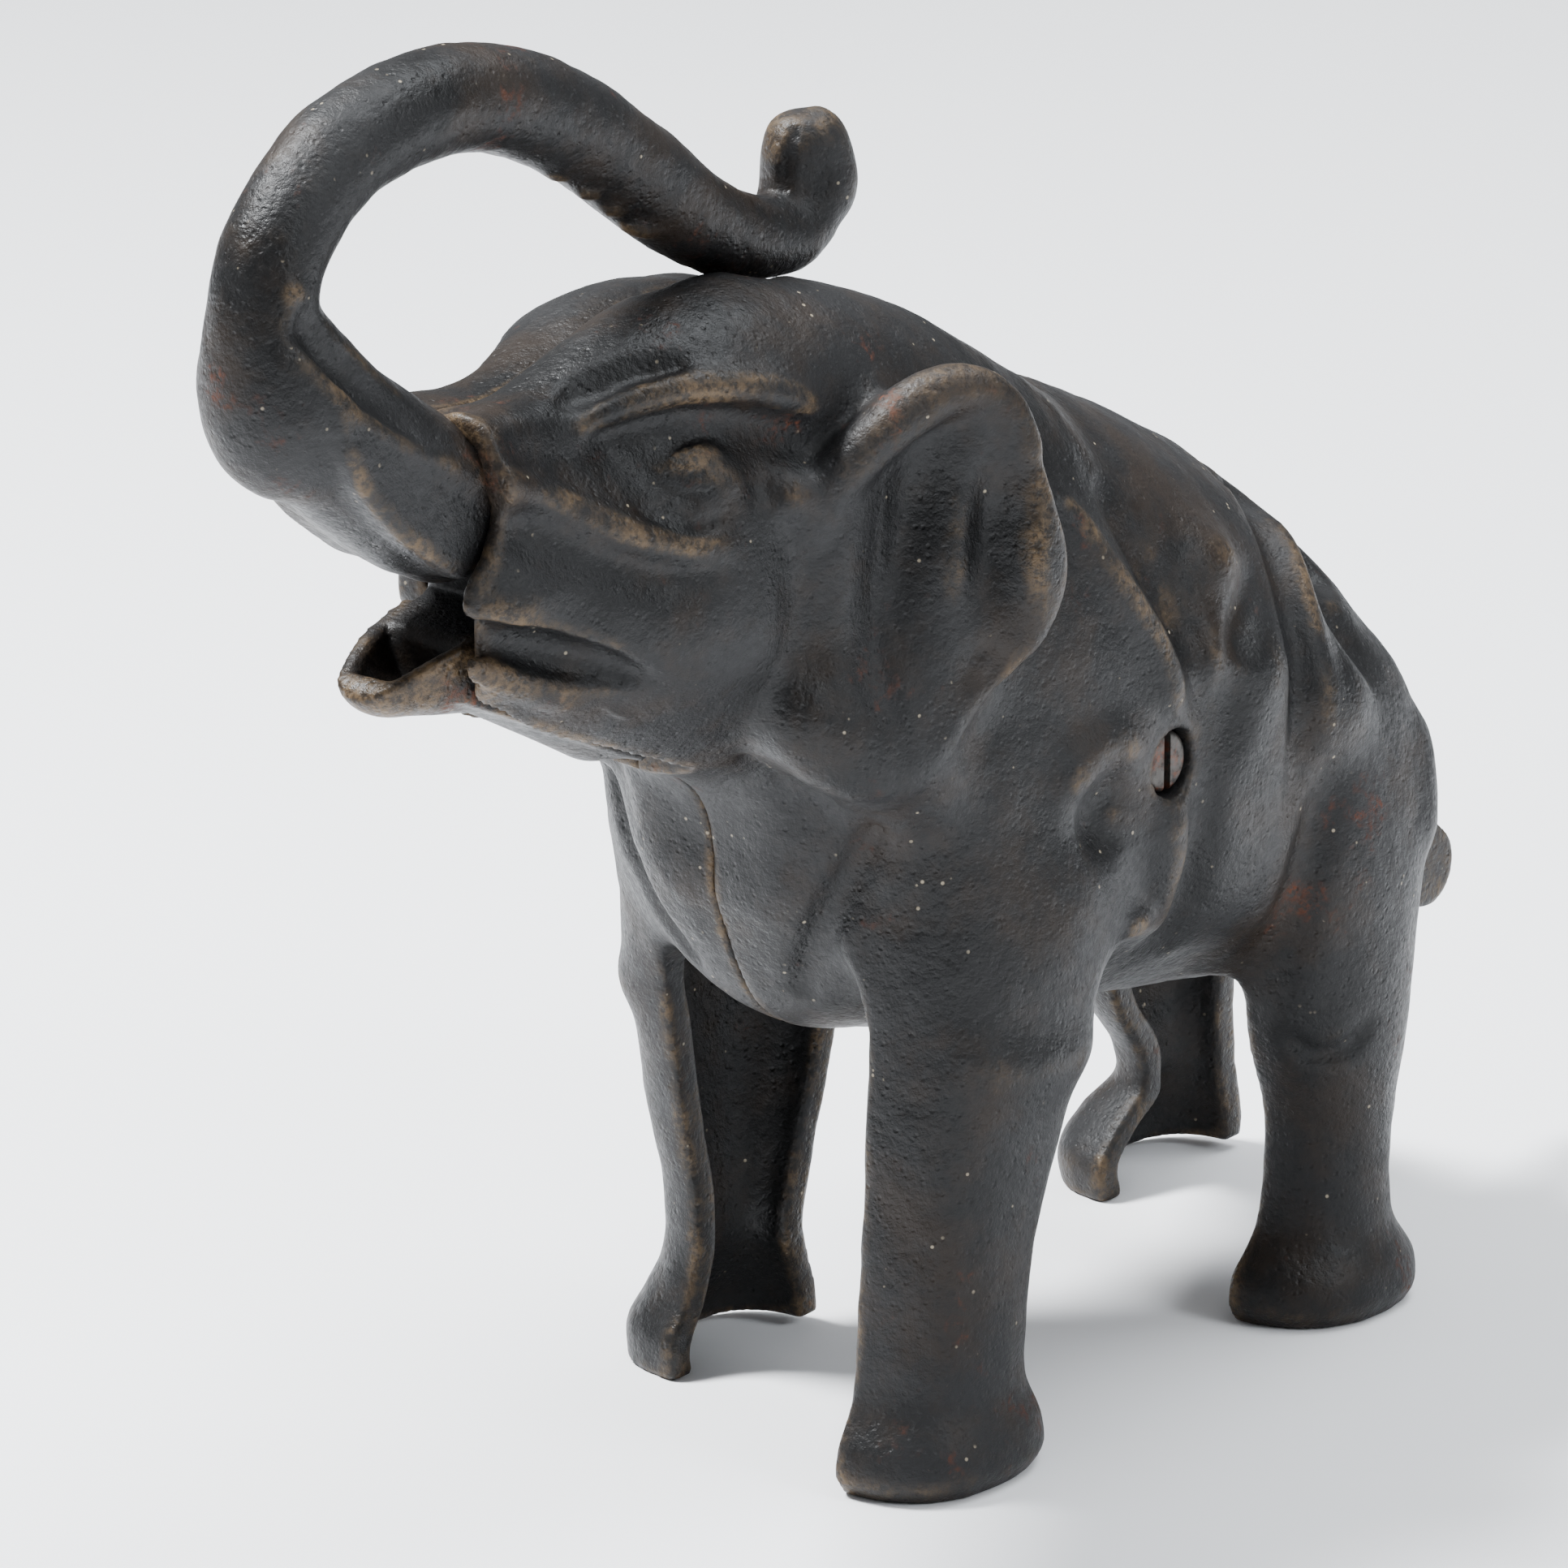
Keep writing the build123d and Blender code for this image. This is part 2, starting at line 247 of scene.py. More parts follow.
    def slab(self, low, high, carve=True, blend=0.0):
        """Carve or add a square block."""
        cut, x, y, z = self.region([v - 3 for v in low], [v + 3 for v in high])
        if self.d[cut].size == 0:
            return
        centre = [(a + b) / 2 for a, b in zip(low, high)]
        half = [(b - a) / 2 for a, b in zip(low, high)]
        gaps = [np.abs(v - c) - h for v, c, h in zip((x, y, z), centre, half)]
        inner = np.minimum(np.maximum(np.maximum(gaps[0], gaps[1]), gaps[2]), 0)
        outer = np.sqrt(sum(np.maximum(gap, 0) ** 2 for gap in gaps))
        self.blend_in(cut, inner + outer, carve, blend)

    def bore(self, y0, z0, radius, from_x, to_x, carve=True, blend=0.0):
        """Carve or add a cylinder along X."""
        reach = radius + 3
        low = (from_x - 2, y0 - reach, z0 - reach)
        high = (to_x + 2, y0 + reach, z0 + reach)
        cut, x, y, z = self.region(low, high)
        if self.d[cut].size == 0:
            return
        around = np.sqrt((y - y0) ** 2 + (z - z0) ** 2) - radius
        ends = np.abs(x - (from_x + to_x) / 2) - (to_x - from_x) / 2
        self.blend_in(cut, np.maximum(around, ends), carve, blend)

    def blend_in(self, cut, shape, carve, blend):
        """Carve a shape from part of the clay or add it, sharply or with a fillet."""
        old = self.d[cut]
        if carve:
            self.d[cut] = smooth_max(old, -shape, blend) if blend else np.maximum(old, -shape)
        else:
            self.d[cut] = smooth_min(old, shape, blend) if blend else np.minimum(old, shape)

    def relief(self, radius):
        """How far each place on the surface stands out of its smoothed surroundings."""
        blurred = np.clip(self.d, -4, 4)
        cells = max(int(round(radius / self.step)), 1)
        for axis in range(3):
            margins = [(0, 0)] * 3
            margins[axis] = (cells + 1, cells)
            for _ in range(2):
                padded = np.pad(blurred, margins, mode="edge")
                total = np.cumsum(padded, axis=axis, dtype=np.float64)
                size = blurred.shape[axis]
                upper = np.take(total, np.arange(size) + 2 * cells + 1, axis=axis)
                lower = np.take(total, np.arange(size), axis=axis)
                blurred = ((upper - lower) / (2 * cells + 1)).astype(np.float32)
        return blurred

    def sample(self, values, places):
        """Values of a grid field at places given in grid steps."""
        base = np.clip(np.floor(places).astype(int), 0, np.array(values.shape) - 2)
        part = (places - base).astype(np.float32)
        result = np.zeros(len(places), np.float32)
        for corner in range(8):
            shift = np.array([corner & 1, corner >> 1 & 1, corner >> 2 & 1])
            weight = np.prod(np.where(shift, part, 1 - part), axis=1)
            index = base + shift
            result += weight * values[index[:, 0], index[:, 1], index[:, 2]]
        return result

    def close_edges(self):
        """Keep the clay clear of the grid's outer faces, so that its skin has no open edge."""
        for axis in range(3):
            edge = [slice(None)] * 3
            for end in (0, -1):
                edge[axis] = end
                self.d[tuple(edge)] = np.maximum(self.d[tuple(edge)], 0.4 * self.step)

    def crossings(self, axis):
        """Where the surface crosses grid edges along an axis, and the four cells around each edge."""
        inside = self.d < 0
        low = [slice(None)] * 3
        high = [slice(None)] * 3
        low[axis] = slice(None, -1)
        high[axis] = slice(1, None)
        at = np.argwhere(inside[tuple(low)] != inside[tuple(high)])
        first = self.d[tuple(at.T)]
        second = self.d[tuple((at + np.eye(3, dtype=int)[axis]).T)]
        places = at.astype(float)
        places[:, axis] += first / (first - second)
        cells = np.array(self.d.shape) - 1
        strides = np.array([cells[1] * cells[2], cells[2], 1])
        around = []
        for back_a, back_b in ((0, 1), (1, 1), (1, 0), (0, 0)):
            cell = at.copy()
            cell[:, (axis + 1) % 3] -= back_a
            cell[:, (axis + 2) % 3] -= back_b
            around.append(cell @ strides)
        around = np.stack(around, axis=1)
        around[first > 0] = around[first > 0][:, ::-1]
        return places, around

    def skin(self):
        """Skin the clay with surface nets: vertices in grid steps and quads."""
        self.close_edges()
        size = int(np.prod(np.array(self.d.shape) - 1))
        total = np.zeros((size, 3))
        count = np.zeros(size)
        quads = []
        for axis in range(3):
            places, around = self.crossings(axis)
            quads.append(around)
            for column in range(4):
                corner = around[:, column]
                count += np.bincount(corner, minlength=size)
                for part in range(3):
                    total[:, part] += np.bincount(corner, weights=places[:, part], minlength=size)
        used = np.flatnonzero(count)
        number = np.full(size, -1, np.int64)
        number[used] = np.arange(len(used))
        vertices = total[used] / count[used][:, None]
        return vertices, number[np.concatenate(quads)]

    def polish(self, vertices):
        """Move each vertex part of the way onto the surface, along its slope."""
        nudge = 0.35
        value = self.sample(self.d, vertices)
        slope = []
        for step in np.eye(3):
            ahead = self.sample(self.d, vertices + nudge * step)
            behind = self.sample(self.d, vertices - nudge * step)
            slope.append(ahead - behind)
        slope = np.stack(slope, axis=1) / (2 * nudge * self.step)
        length_squared = np.maximum((slope ** 2).sum(axis=1), 0.05)
        move = -slope * (value / length_squared / self.step)[:, None]
        return vertices + 0.6 * np.clip(move, -0.3, 0.3)

    def mesh(self, name, mirror=False):
        """The clay as a finished Blender object, in metres, with its relief stored on it."""
        vertices, quads = self.skin()
        for _ in range(2):
            vertices = self.polish(vertices)
        fine = self.sample(self.relief(FINE_RELIEF), vertices)
        broad = self.sample(self.relief(BROAD_RELIEF), vertices)
        places = (self.low + vertices * self.step) * MM
        if mirror:
            places[:, 0] *= -1
            quads = quads[:, ::-1]
        piece = quad_object(name, places, quads)
        for title, values in (("fine_relief", fine), ("broad_relief", broad)):
            layer = piece.data.attributes.new(title, "FLOAT", "POINT")
            layer.data.foreach_set("value", values.astype(np.float32))
        thin_out(piece, 2 * len(quads))
        return piece


def quad_object(name, places, quads):
    """A smooth Blender object from its vertices in metres and its quads."""
    mesh = bpy.data.meshes.new(name)
    mesh.vertices.add(len(places))
    mesh.vertices.foreach_set("co", places.astype(np.float32).ravel())
    mesh.loops.add(quads.size)
    mesh.loops.foreach_set("vertex_index", quads.astype(np.int32).ravel())
    mesh.polygons.add(len(quads))
    mesh.polygons.foreach_set("loop_start", np.arange(0, quads.size, 4, dtype=np.int32))
    mesh.polygons.foreach_set("use_smooth", np.ones(len(quads), bool))
    mesh.update(calc_edges=True)
    piece = bpy.data.objects.new(name, mesh)
    bpy.context.scene.collection.objects.link(piece)
    return piece


def thin_out(piece, triangles):
    """Bring a piece down to at most a set number of triangles."""
    if triangles <= MOST_TRIANGLES:
        return
    thin = piece.modifiers.new("thin", "DECIMATE")
    thin.ratio = MOST_TRIANGLES / triangles
    thin.use_collapse_triangulate = True
    evaluated = piece.evaluated_get(bpy.context.evaluated_depsgraph_get())
    piece.data = bpy.data.meshes.new_from_object(evaluated)
    piece.modifiers.clear()
    piece.data.name = piece.name


def section_field(clay, stations, across, power=2.0):
    """Distance to a form lofted through upright oval sections, rounded off at its two ends."""
    x, y, z = clay.grid()
    where, low, high, half = (np.array(column, float) for column in zip(*stations))
    middles = eased(where, (low + high) / 2, y)
    heights = eased(where, (high - low) / 2, y)
    widths = eased(where, half, y)
    level = ((np.abs(x) / widths) ** power + (np.abs(z - middles) / heights) ** power) ** (1 / power)
    level = (level - 1).astype(np.float32)
    field = scaled(level, clay.step)
    return smooth_max(smooth_max(field, where[0] - y, across), y - where[-1], across)


def leg_field(clay, stations, power=2.3):
    """Distance to a leg lofted through level oval sections."""
    x, y, z = clay.grid()
    where, front, rear, reach = (np.array(column, float) for column in zip(*stations))
    middles = eased(where, (front + rear) / 2, z)
    depths = eased(where, (rear - front) / 2, z)
    reaches = eased(where, reach, z)
    level = (np.abs(x - LEG_INNER_X) / reaches) ** power + (np.abs(y - middles) / depths) ** power
    return scaled((level ** (1 / power) - 1).astype(np.float32), clay.step)


def scaled(level, step):
    """A level function turned into near-true distance by its own slope."""
    slopes = np.gradient(level, step)
    steepness = np.sqrt(sum(slope ** 2 for slope in slopes))
    return level / np.maximum(steepness, 0.02)


# -------- driving dimensions, mm

WALL = 2.6
LEAST_WALL = 2.1
LEG_INNER_X = 12.7
SEAM_GAP = 0.02
SLOT_HALF_WIDTH = 1.5
SLOT_FRONT_Y, SLOT_REAR_Y = 2.0, 28.0
OPENING_HALF_WIDTH = 5.4
# Pivot pin and screw: y and z of their axes, which run along X.
PIVOT = (-42.0, 70.0)
PIVOT_BOSS_RADIUS = 3.6
PIVOT_SOCKET_RADIUS = 1.52
LEVER_BOSS_RADIUS = 5.0
LEVER_BORE_RADIUS = 1.55
SCREW = (9.5, 53.0)
SCREW_PILLAR_RADIUS = 4.5
SCREW_CLEARANCE_RADIUS = 1.7
SCREW_HEAD_RADIUS = 2.8
SCREW_TAPPED_RADIUS = 1.52
SCREW_HEAD_FROM_X = 17.4
SCREW_END_X = 15
# Past every outer wall, for what is carved right through.
OUTSIDE_X = 40

# Head and torso: y, lowest z, highest z and half width of each upright section.
HEAD = [
    (-60.0, 68.0, 88.6, 6.8),
    (-55.0, 66.8, 90.2, 8.2),
    (-45.0, 63.0, 90.2, 11.4),
    (-38.0, 60.6, 91.6, 13.0),
    (-32.0, 58.4, 93.4, 14.2),
    (-26.0, 56.4, 94.0, 15.0),
    (-16.0, 52.6, 91.8, 15.8),
    (-6.0, 49.0, 87.4, 16.6),
    (4.0, 46.0, 82.2, 17.4),
]
TORSO = [
    (-22.0, 42.0, 62.0, 10.0),
    (-17.0, 36.0, 75.0, 15.6),
    (-6.0, 31.5, 84.0, 19.4),
    (8.0, 29.0, 82.0, 20.9),
    (22.0, 27.5, 76.4, 20.6),
    (36.0, 25.5, 67.8, 19.4),
    (46.0, 24.5, 58.6, 16.4),
    (52.0, 25.5, 49.6, 11.6),
    (57.2, 30.0, 41.0, 5.2),
]
# Legs: z, front y, rear y and outward reach of each level section.
LEFT_FRONT_LEG = [
    (0.0, -21.9, -3.8, 8.5),
    (1.3, -22.9, -2.9, 9.3),
    (3.2, -22.8, -3.0, 9.3),
    (7.2, -20.9, -4.5, 8.0),
    (11.0, -20.4, -4.5, 7.9),
    (20.0, -19.8, -2.7, 8.0),
    (30.0, -19.2, 1.3, 8.5),
    (42.0, -17.8, 6.0, 8.4),
    (56.0, -14.0, 2.0, 5.6),
]
LEFT_HIND_LEG = [
    (0.0, 28.0, 45.3, 8.3),
    (1.3, 27.2, 46.1, 9.0),
    (3.2, 27.2, 46.1, 9.0),
    (7.2, 30.2, 43.7, 7.5),
    (10.0, 31.0, 43.2, 7.2),
    (15.0, 31.4, 43.2, 7.2),
    (24.0, 28.8, 44.6, 8.2),
    (32.0, 27.0, 46.4, 8.0),
    (42.0, 26.0, 47.4, 6.4),
    (52.0, 30.0, 44.0, 4.4),
]
RIGHT_FRONT_LEG = [
    (0.0, -12.2, 6.0, 9.1),
    (3.0, -12.2, 6.0, 9.1),
    (5.8, -10.8, 5.2, 7.8),
    (9.0, -9.6, 4.2, 6.5),
    (14.0, -9.4, 5.2, 6.6),
    (20.0, -10.6, 7.0, 7.6),
    (30.0, -12.4, 9.8, 8.5),
    (42.0, -14.6, 11.0, 8.4),
    (56.0, -13.0, 3.0, 5.6),
]
RIGHT_HIND_LEG = [
    (0.0, 43.4, 62.6, 8.8),
    (3.0, 43.0, 62.8, 9.0),
    (6.0, 45.4, 62.2, 7.8),
    (8.6, 48.6, 61.8, 6.2),
    (11.4, 48.6, 61.6, 6.2),
    (15.8, 45.6, 61.4, 7.0),
    (24.0, 42.0, 60.0, 8.2),
    (32.0, 34.0, 57.0, 8.0),
    (42.0, 28.0, 52.0, 6.4),
    (52.0, 30.0, 44.0, 4.4),
]
LEGS = {1: (LEFT_FRONT_LEG, LEFT_HIND_LEG), -1: (RIGHT_FRONT_LEG, RIGHT_HIND_LEG)}


# -------- body halves

# The two sides differ a little in height: how far the crown and the brow drop on each.
CROWN_DROP = {1: 0.3, -1: 2.2}
CROWN_RIDGE = [
    (2.8, -50, 86.2, 4.4),
    (3.0, -46, 86.4, 5.0),
    (3.2, -41, 86.6, 6.6),
    (3.6, -36, 86.0, 8.8),
    (4.0, -30, 86.2, 10.0),
    (4.2, -24, 86.2, 9.9),
    (4.6, -15, 83.4, 9.9),
    (5.0, -6, 78.8, 9.8),
    (5.2, 2, 73.4, 9.4),
]
CROWN_GROOVE = [(0, -52, 90.2), (0, -42, 93), (0, -34, 95.2), (0, -26, 96), (0, -16, 93.4), (0, -4, 88)]
BROW = [
    (8, -46.8, 88.6),
    (9, -44, 90),
    (10, -40, 90.7),
    (10.4, -34, 90.2),
    (11.8, -28, 88.6),
    (13, -23, 85.6),
]
BROW_HOLLOW = [(5.8, -46.0, 90.6), (6.4, -43.9, 91.3), (7, -39.2, 91.8), (7.6, -34.5, 91.4)]


def sculpt_crown(clay, side):
    """A dome on each side of a groove, the brow with a hollow above it, and the side of the nose."""
    drop = CROWN_DROP[side]
    clay.limb([(x, y, z - drop, radius) for x, y, z, radius in CROWN_RIDGE], 2.5)
    clay.stroke(CROWN_GROOVE, 1.4, -1.7)
    clay.gouge([(x, y, z - drop) for x, y, z in BROW_HOLLOW], 0.8, 1.8)
    clay.stroke([(x, y, z - drop) for x, y, z in BROW], 1.5, 1.6)
    clay.limb([(4.2, -57, 89.2, 2.0), (5.8, -56.5, 87.6, 2.3), (7.0, -56, 85.2, 2.3)], 2.5)
    clay.limb([(5.4, -56, 88.2, 2.2), (5.6, -51, 88.0, 2.0), (5.4, -45, 86.8, 1.4)], 3.5)


UPPER_LID = [(10.6, -41.2, 85.0), (11.4, -38.6, 86.5), (11.6, -36.2, 86.2), (11.4, -33.4, 84.4)]
LOWER_FOLD = [(10.6, -42.0, 83.6), (11.8, -38.6, 82.0), (11.8, -34.6, 82.6), (12.4, -32, 83.6)]


def sculpt_eye(clay):
    """The eye in its socket, with its lids and the folds under it."""
    # socket
    clay.swell((11, -37.0, 87.4), (4.0, 8.6, 2.6), -2.6, turn=(-10, 0, 0))
    clay.swell((11, -40.5, 84.4), (3.4, 4.4, 3.0), -1.5, turn=(-30, 0, 0))
    clay.swell((13, -29, 85.6), (3.0, 5.0, 2.2), -2.0, turn=(-20, 0, 0))
    clay.swell((9, -43.8, 87.6), (3.0, 2.6, 2.2), -1.3)
    # ball, lids and folds
    clay.swell((11.6, -37.8, 85.0), (2.0, 2.8, 1.4), 1.1, turn=(-8, 0, 0))
    clay.stroke(UPPER_LID, 0.55, 0.45)
    clay.gouge([(11, -41.0, 85.9), (11.6, -38.4, 87.3), (11.8, -35.4, 86.9)], 0.35)
    clay.gouge([(11, -39.8, 84.9), (11.8, -37.8, 84.5), (11.8, -35.4, 84.5)], 0.35)
    clay.stroke(LOWER_FOLD, 0.8, 0.22)
    clay.gouge([(11, -43.6, 82.6), (12, -39.6, 80.2), (12.4, -35.4, 80.6)], 0.55, 1.2)


CHEEKBONE = [
    (8, -56.5, 87.4),
    (8.8, -53, 86.0),
    (9.8, -49.5, 84.2),
    (11, -44.5, 81.4),
    (12, -39.5, 79.4),
    (12.8, -34, 78.4),
]


def sculpt_cheek(clay):
    """The cheekbone between the nose and the ear, and the cheek below it."""
    clay.swell((7.4, -49, 87.4), (2.6, 5.0, 1.9), -1.1, turn=(-18, 0, 0))
    clay.stroke(CHEEKBONE, 1.1, 1.7)
    clay.stroke([(8.2, -57, 84.6), (9.6, -50.5, 81.2), (11.6, -43.5, 78.2), (13, -36, 76.4)], 1.8, -0.8)
    clay.swell((14.2, -28.2, 81.4), (2.4, 2.6, 1.8), 1.7)
    clay.swell((13.6, -32.0, 82.6), (2.4, 1.5, 1.5), -0.9)
    clay.swell((13.0, -38, 71.5), (5, 9, 5), 1.0)
    clay.swell((8.4, -54, 77.0), (3, 3.4, 2.4), 0.9)
    clay.swell((14.2, -27.5, 72.0), (2.5, 2.6, 6.0), -1.5, turn=(8, 0, 0))


MOUTH_LINE = [(7, -66, 78.4), (8, -57.4, 75.4), (9.4, -51, 73), (10.8, -46.4, 71.2), (12, -43, 69.8)]


def sculpt_mouth(clay):
    """The mouth line, the lower lip, and the dimple and fold behind the jaw."""
    clay.gouge(MOUTH_LINE, 1.9, 0.8)
    clay.stroke([(6.6, -58, 73.2), (8.0, -53, 71.0), (9.6, -48, 68.6)], 1.2, 0.8)
    clay.gouge([(12.2, -32.5, 61.6), (13.0, -29.5, 59.4), (13.6, -26.5, 56.6)], 1.1, 1.4)
    clay.stroke([(14, -30, 64.5), (15, -23, 62.0), (16, -18, 59.6)], 1.8, -0.9)


BEHIND_SHOULDER = [
    (14.4, 5.0, 77),
    (17, 9.6, 69),
    (19.6, 13.4, 60),
    (20.6, 13.6, 52),
    (20.6, 11.8, 44),
    (19.6, 8.4, 37),
]


def sculpt_shoulder(clay):
    """Chest plate, its crease, and the shoulder blade down to the elbow."""
    clay.swell((6.5, -21, 48), (5, 3, 9), 0.8)
    clay.gouge([(16, -16.6, 59.5), (13, -19.2, 51.9), (10, -21.3, 44.7), (8.5, -21.6, 40.0)], 0.7, 2.2)
    # ridge from behind the ear to the screw and down to the elbow, and the hollow behind it
    clay.stroke([(14.0, 1, 76), (16.2, 4.8, 69.5), (18.5, 9, 62), (20, 10.0, 56.5)], 1.4, 1.6)
    clay.stroke([(20.4, 9.0, 49.5), (20.8, 7.6, 44), (20.6, 4.1, 38.5)], 2.0, 1.7)
    clay.stroke(BEHIND_SHOULDER, 1.9, -1.9)
    clay.swell((20, 9.6, 53), (3, 2.6, 3.2), -1.2)
    # pit of the shoulder joint, with a knob in it and a fold over it
    clay.swell((20.6, 0.3, 50.6), (3, 2.9, 2.6), -2.6)
    clay.swell((20.6, 0.6, 51.0), (1.4, 1.4, 1.3), 0.9)
    clay.stroke([(20, -4.5, 53.5), (20, -1.5, 55.6), (20, 2.0, 56.4), (20, 5.6, 54.6)], 1.7, 1.1)
    clay.swell((20.4, -4, 44), (3, 5, 5), 1.1)
    clay.stroke([(19, 6.5, 34.5), (18, 0, 31.5), (17, -6, 31.2), (16, -12, 33)], 2.4, 0.9)


def sculpt_ribs(clay):
    """Swellings and hollows between the shoulder and the hip."""
    clay.swell((13.4, 21.6, 65.6), (3.4, 3.9, 2.8), 1.8)
    clay.swell((18.6, 15.5, 59.4), (3, 2.8, 2.6), 1.9)
    clay.swell((18.6, 22.6, 57.0), (3, 3.4, 3.6), 1.4)
    clay.swell((16.0, 16.0, 66.5), (3, 3.4, 3.2), -1.3)
    clay.stroke([(16, 25.5, 64.5), (18, 20.5, 61.2), (19, 18.2, 56.8), (19.6, 18.0, 51)], 1.6, -1.4)


HIP_HOLLOW = [(6, 31, 71.6), (11.5, 31.2, 67.0), (16.0, 29.6, 60.4), (18.8, 28.0, 52), (19.4, 26.0, 44)]
RUMP_HOLLOW = [(1, 43.6, 62.6), (4, 40.2, 63.6), (8, 37.6, 63.2), (12.5, 38.6, 58.2), (15.6, 41.0, 51.5)]


def sculpt_hip(clay):
    """The hip bone between two hollows, and the back of the thigh."""
    clay.stroke(HIP_HOLLOW, 1.8, -1.8)
    clay.stroke([(8, 34.6, 66.6), (12.6, 33.6, 62.4), (17.0, 30.8, 55.6), (18.6, 30.4, 50)], 1.9, 1.4)
    clay.swell((17, 35.3, 51), (3, 3.6, 4.2), 1.5)
    clay.swell((18, 33.0, 45.6), (3, 3.6, 3.4), -1.0)
    clay.stroke(RUMP_HOLLOW, 1.8, -1.9)
    clay.stroke([(8, 50.5, 54), (13.4, 50.0, 46), (14.6, 49.6, 38), (14.4, 48, 30)], 2.4, 0.9)
    clay.stroke([(6, 55, 47), (8.5, 54.6, 40), (9.5, 53, 31)], 1.6, -1.0)


def sculpt_belly(clay):
    """The belly, the fold in front of the thigh, and the crease over the knee."""
    clay.stroke([(20.0, 29.5, 47), (20.4, 26.5, 40), (19.4, 24.8, 34), (16.5, 23.5, 29)], 1.9, -1.8)
    clay.swell((19, 19, 40), (4, 5, 7), 1.1)
    clay.swell((19.6, 36, 38), (3, 6, 6), 1.0)
    clay.stroke([(19, 26.0, 26.4), (19.6, 29.0, 24.0), (19, 34, 23.2), (18, 39, 24.6)], 0.8, -0.7)


EAR_ROOT = (14.2, -24.0)
EAR_FLARE = radians(32)
# Outline of the ear in its own plane: along the plate from its root, and height.
EAR_OUTLINE = [
    (-2.4, 76), (-1.4, 81), (1.5, 84.9), (5.5, 88.0), (9.7, 89.2), (13.2, 87.6),
    (15.0, 84.2), (16.8, 79), (18.0, 73.6), (16.6, 68.8), (12.9, 65.2), (8, 61.4),
    (3.4, 58.8), (-0.4, 58.8), (-3.4, 62), (-3.6, 68),
]
# Hollows and swellings of its face: along the plate, height, reach along and up, tilt and depth.
EAR_RELIEF = [
    (4.2, 76.5, 2.7, 8.0, 0.24, -3.6),
    (11.6, 77.5, 2.0, 5.5, 0.05, -1.6),
    (8.6, 74.0, 1.8, 6.5, 0.12, 0.5),
    (15.2, 74.5, 1.5, 4.5, 0.0, 1.1),
    (11.0, 66.5, 1.7, 1.7, 0.0, -1.1),
    (11.0, 66.5, 0.8, 0.8, 0.0, 0.7),
    (0.0, 74.0, 3.0, 14.0, 0.0, 1.2),
    (5.0, 65.0, 3.0, 3.5, 0.0, 0.6),
]


def outline_distance(outline, across, up):
    """Signed distance to a closed outline, negative inside."""
    nearest = np.full(across.shape, FAR, np.float32)
    within = np.zeros(across.shape, bool)
    for (a0, u0), (a1, u1) in zip(outline, np.roll(outline, -1, axis=0)):
        da, du = a1 - a0, u1 - u0
        t = np.clip(((across - a0) * da + (up - u0) * du) / max(da * da + du * du, 1e-6), 0, 1)
        np.minimum(nearest, np.hypot(across - a0 - t * da, up - u0 - t * du), out=nearest)
        spans = (u0 > up) != (u1 > up)
        crossing = a0 + (up - u0) * da / (du if abs(du) > 1e-6 else 1e-6)
        within ^= spans & (across < crossing)
    return np.where(within, -nearest, nearest)


EAR_THICKNESS = 2.3
EAR_DROP = {1: 0, -1: 2.0}
# Rolled rim of the ear: along the plate, height, stand off its face, and radius.
EAR_RIM = [
    (-3.0, 79, 1.4, 1.6),
    (-1.0, 82, 1.6, 1.8),
    (2.5, 85.2, 1.4, 2.0),
    (6.5, 87.6, 0.9, 2.0),
    (10.2, 88.0, 0.4, 1.7),
    (13.0, 86.2, 0.1, 1.3),
    (14.4, 83.2, 0, 1.1),
]


def ear(clay, side):
    """One ear, a dished plate with a rolled upper rim, on a fold of the neck."""
    clay.limb([(13.2, -27, 63.6, 2.8), (14.4, -22.5, 61.0, 3.2), (15.0, -17, 57.5, 3.2)], 4)
    cut, x, y, z = clay.region((9, -36, 46), (27, 0, 94))
    forward_x, forward_y = cos(EAR_FLARE), -sin(EAR_FLARE)
    across = (x - EAR_ROOT[0]) * sin(EAR_FLARE) + (y - EAR_ROOT[1]) * cos(EAR_FLARE) + 0 * z
    face = (x - EAR_ROOT[0]) * forward_x + (y - EAR_ROOT[1]) * forward_y + 0 * z
    drop = EAR_DROP[side]
    up = z + drop + 0 * across
    closed = smooth_line(EAR_OUTLINE + EAR_OUTLINE[:3])[6:-6]
    edge = outline_distance(closed, across, up)
    dish = np.zeros_like(across)
    for along, height, reach_along, reach_up, tilt, depth in EAR_RELIEF:
        slant = (across - along) - tilt * (up - height)
        dish += depth * np.exp(-(slant / reach_along) ** 2 - ((up - height) / reach_up) ** 2)
    plate = smooth_max(np.abs(face - dish) - EAR_THICKNESS / 2, edge, 1.6)
    clay.d[cut] = smooth_min(clay.d[cut], plate, 3.0 + np.clip((70 - up) / 5, 0, 2.5))
    rim = []
    for along, height, stand, radius in EAR_RIM:
        rim_x = EAR_ROOT[0] + along * sin(EAR_FLARE) + stand * forward_x
        rim_y = EAR_ROOT[1] + along * cos(EAR_FLARE) + stand * forward_y
        rim.append((rim_x, rim_y, height - drop, radius))
    clay.limb(rim, 1.2)


# Front rim of the head shell: height, and how far forward the left and the right half reach.
HEAD_RIM = [
    (62, -44, -44),
    (66, -52, -45),
    (69, -56.0, -45),
    (72, -57.6, -45),
    (76, -58.4, -45),
    (79, -58.0, -46),
    (81.2, -56.0, -49.6),
    (83.9, -54.6, -54.2),
    (86.8, -55.4, -55.4),
    (91.5, -55.6, -55.6),
]
# The tail, down from the rump: x, y, z and radius.
TAIL = [(0, 54, 34.6, 3.6), (0, 62, 31.0, 3.8), (0, 68.4, 27.6, 3.8), (0, 71.5, 25.5, 3.6)]
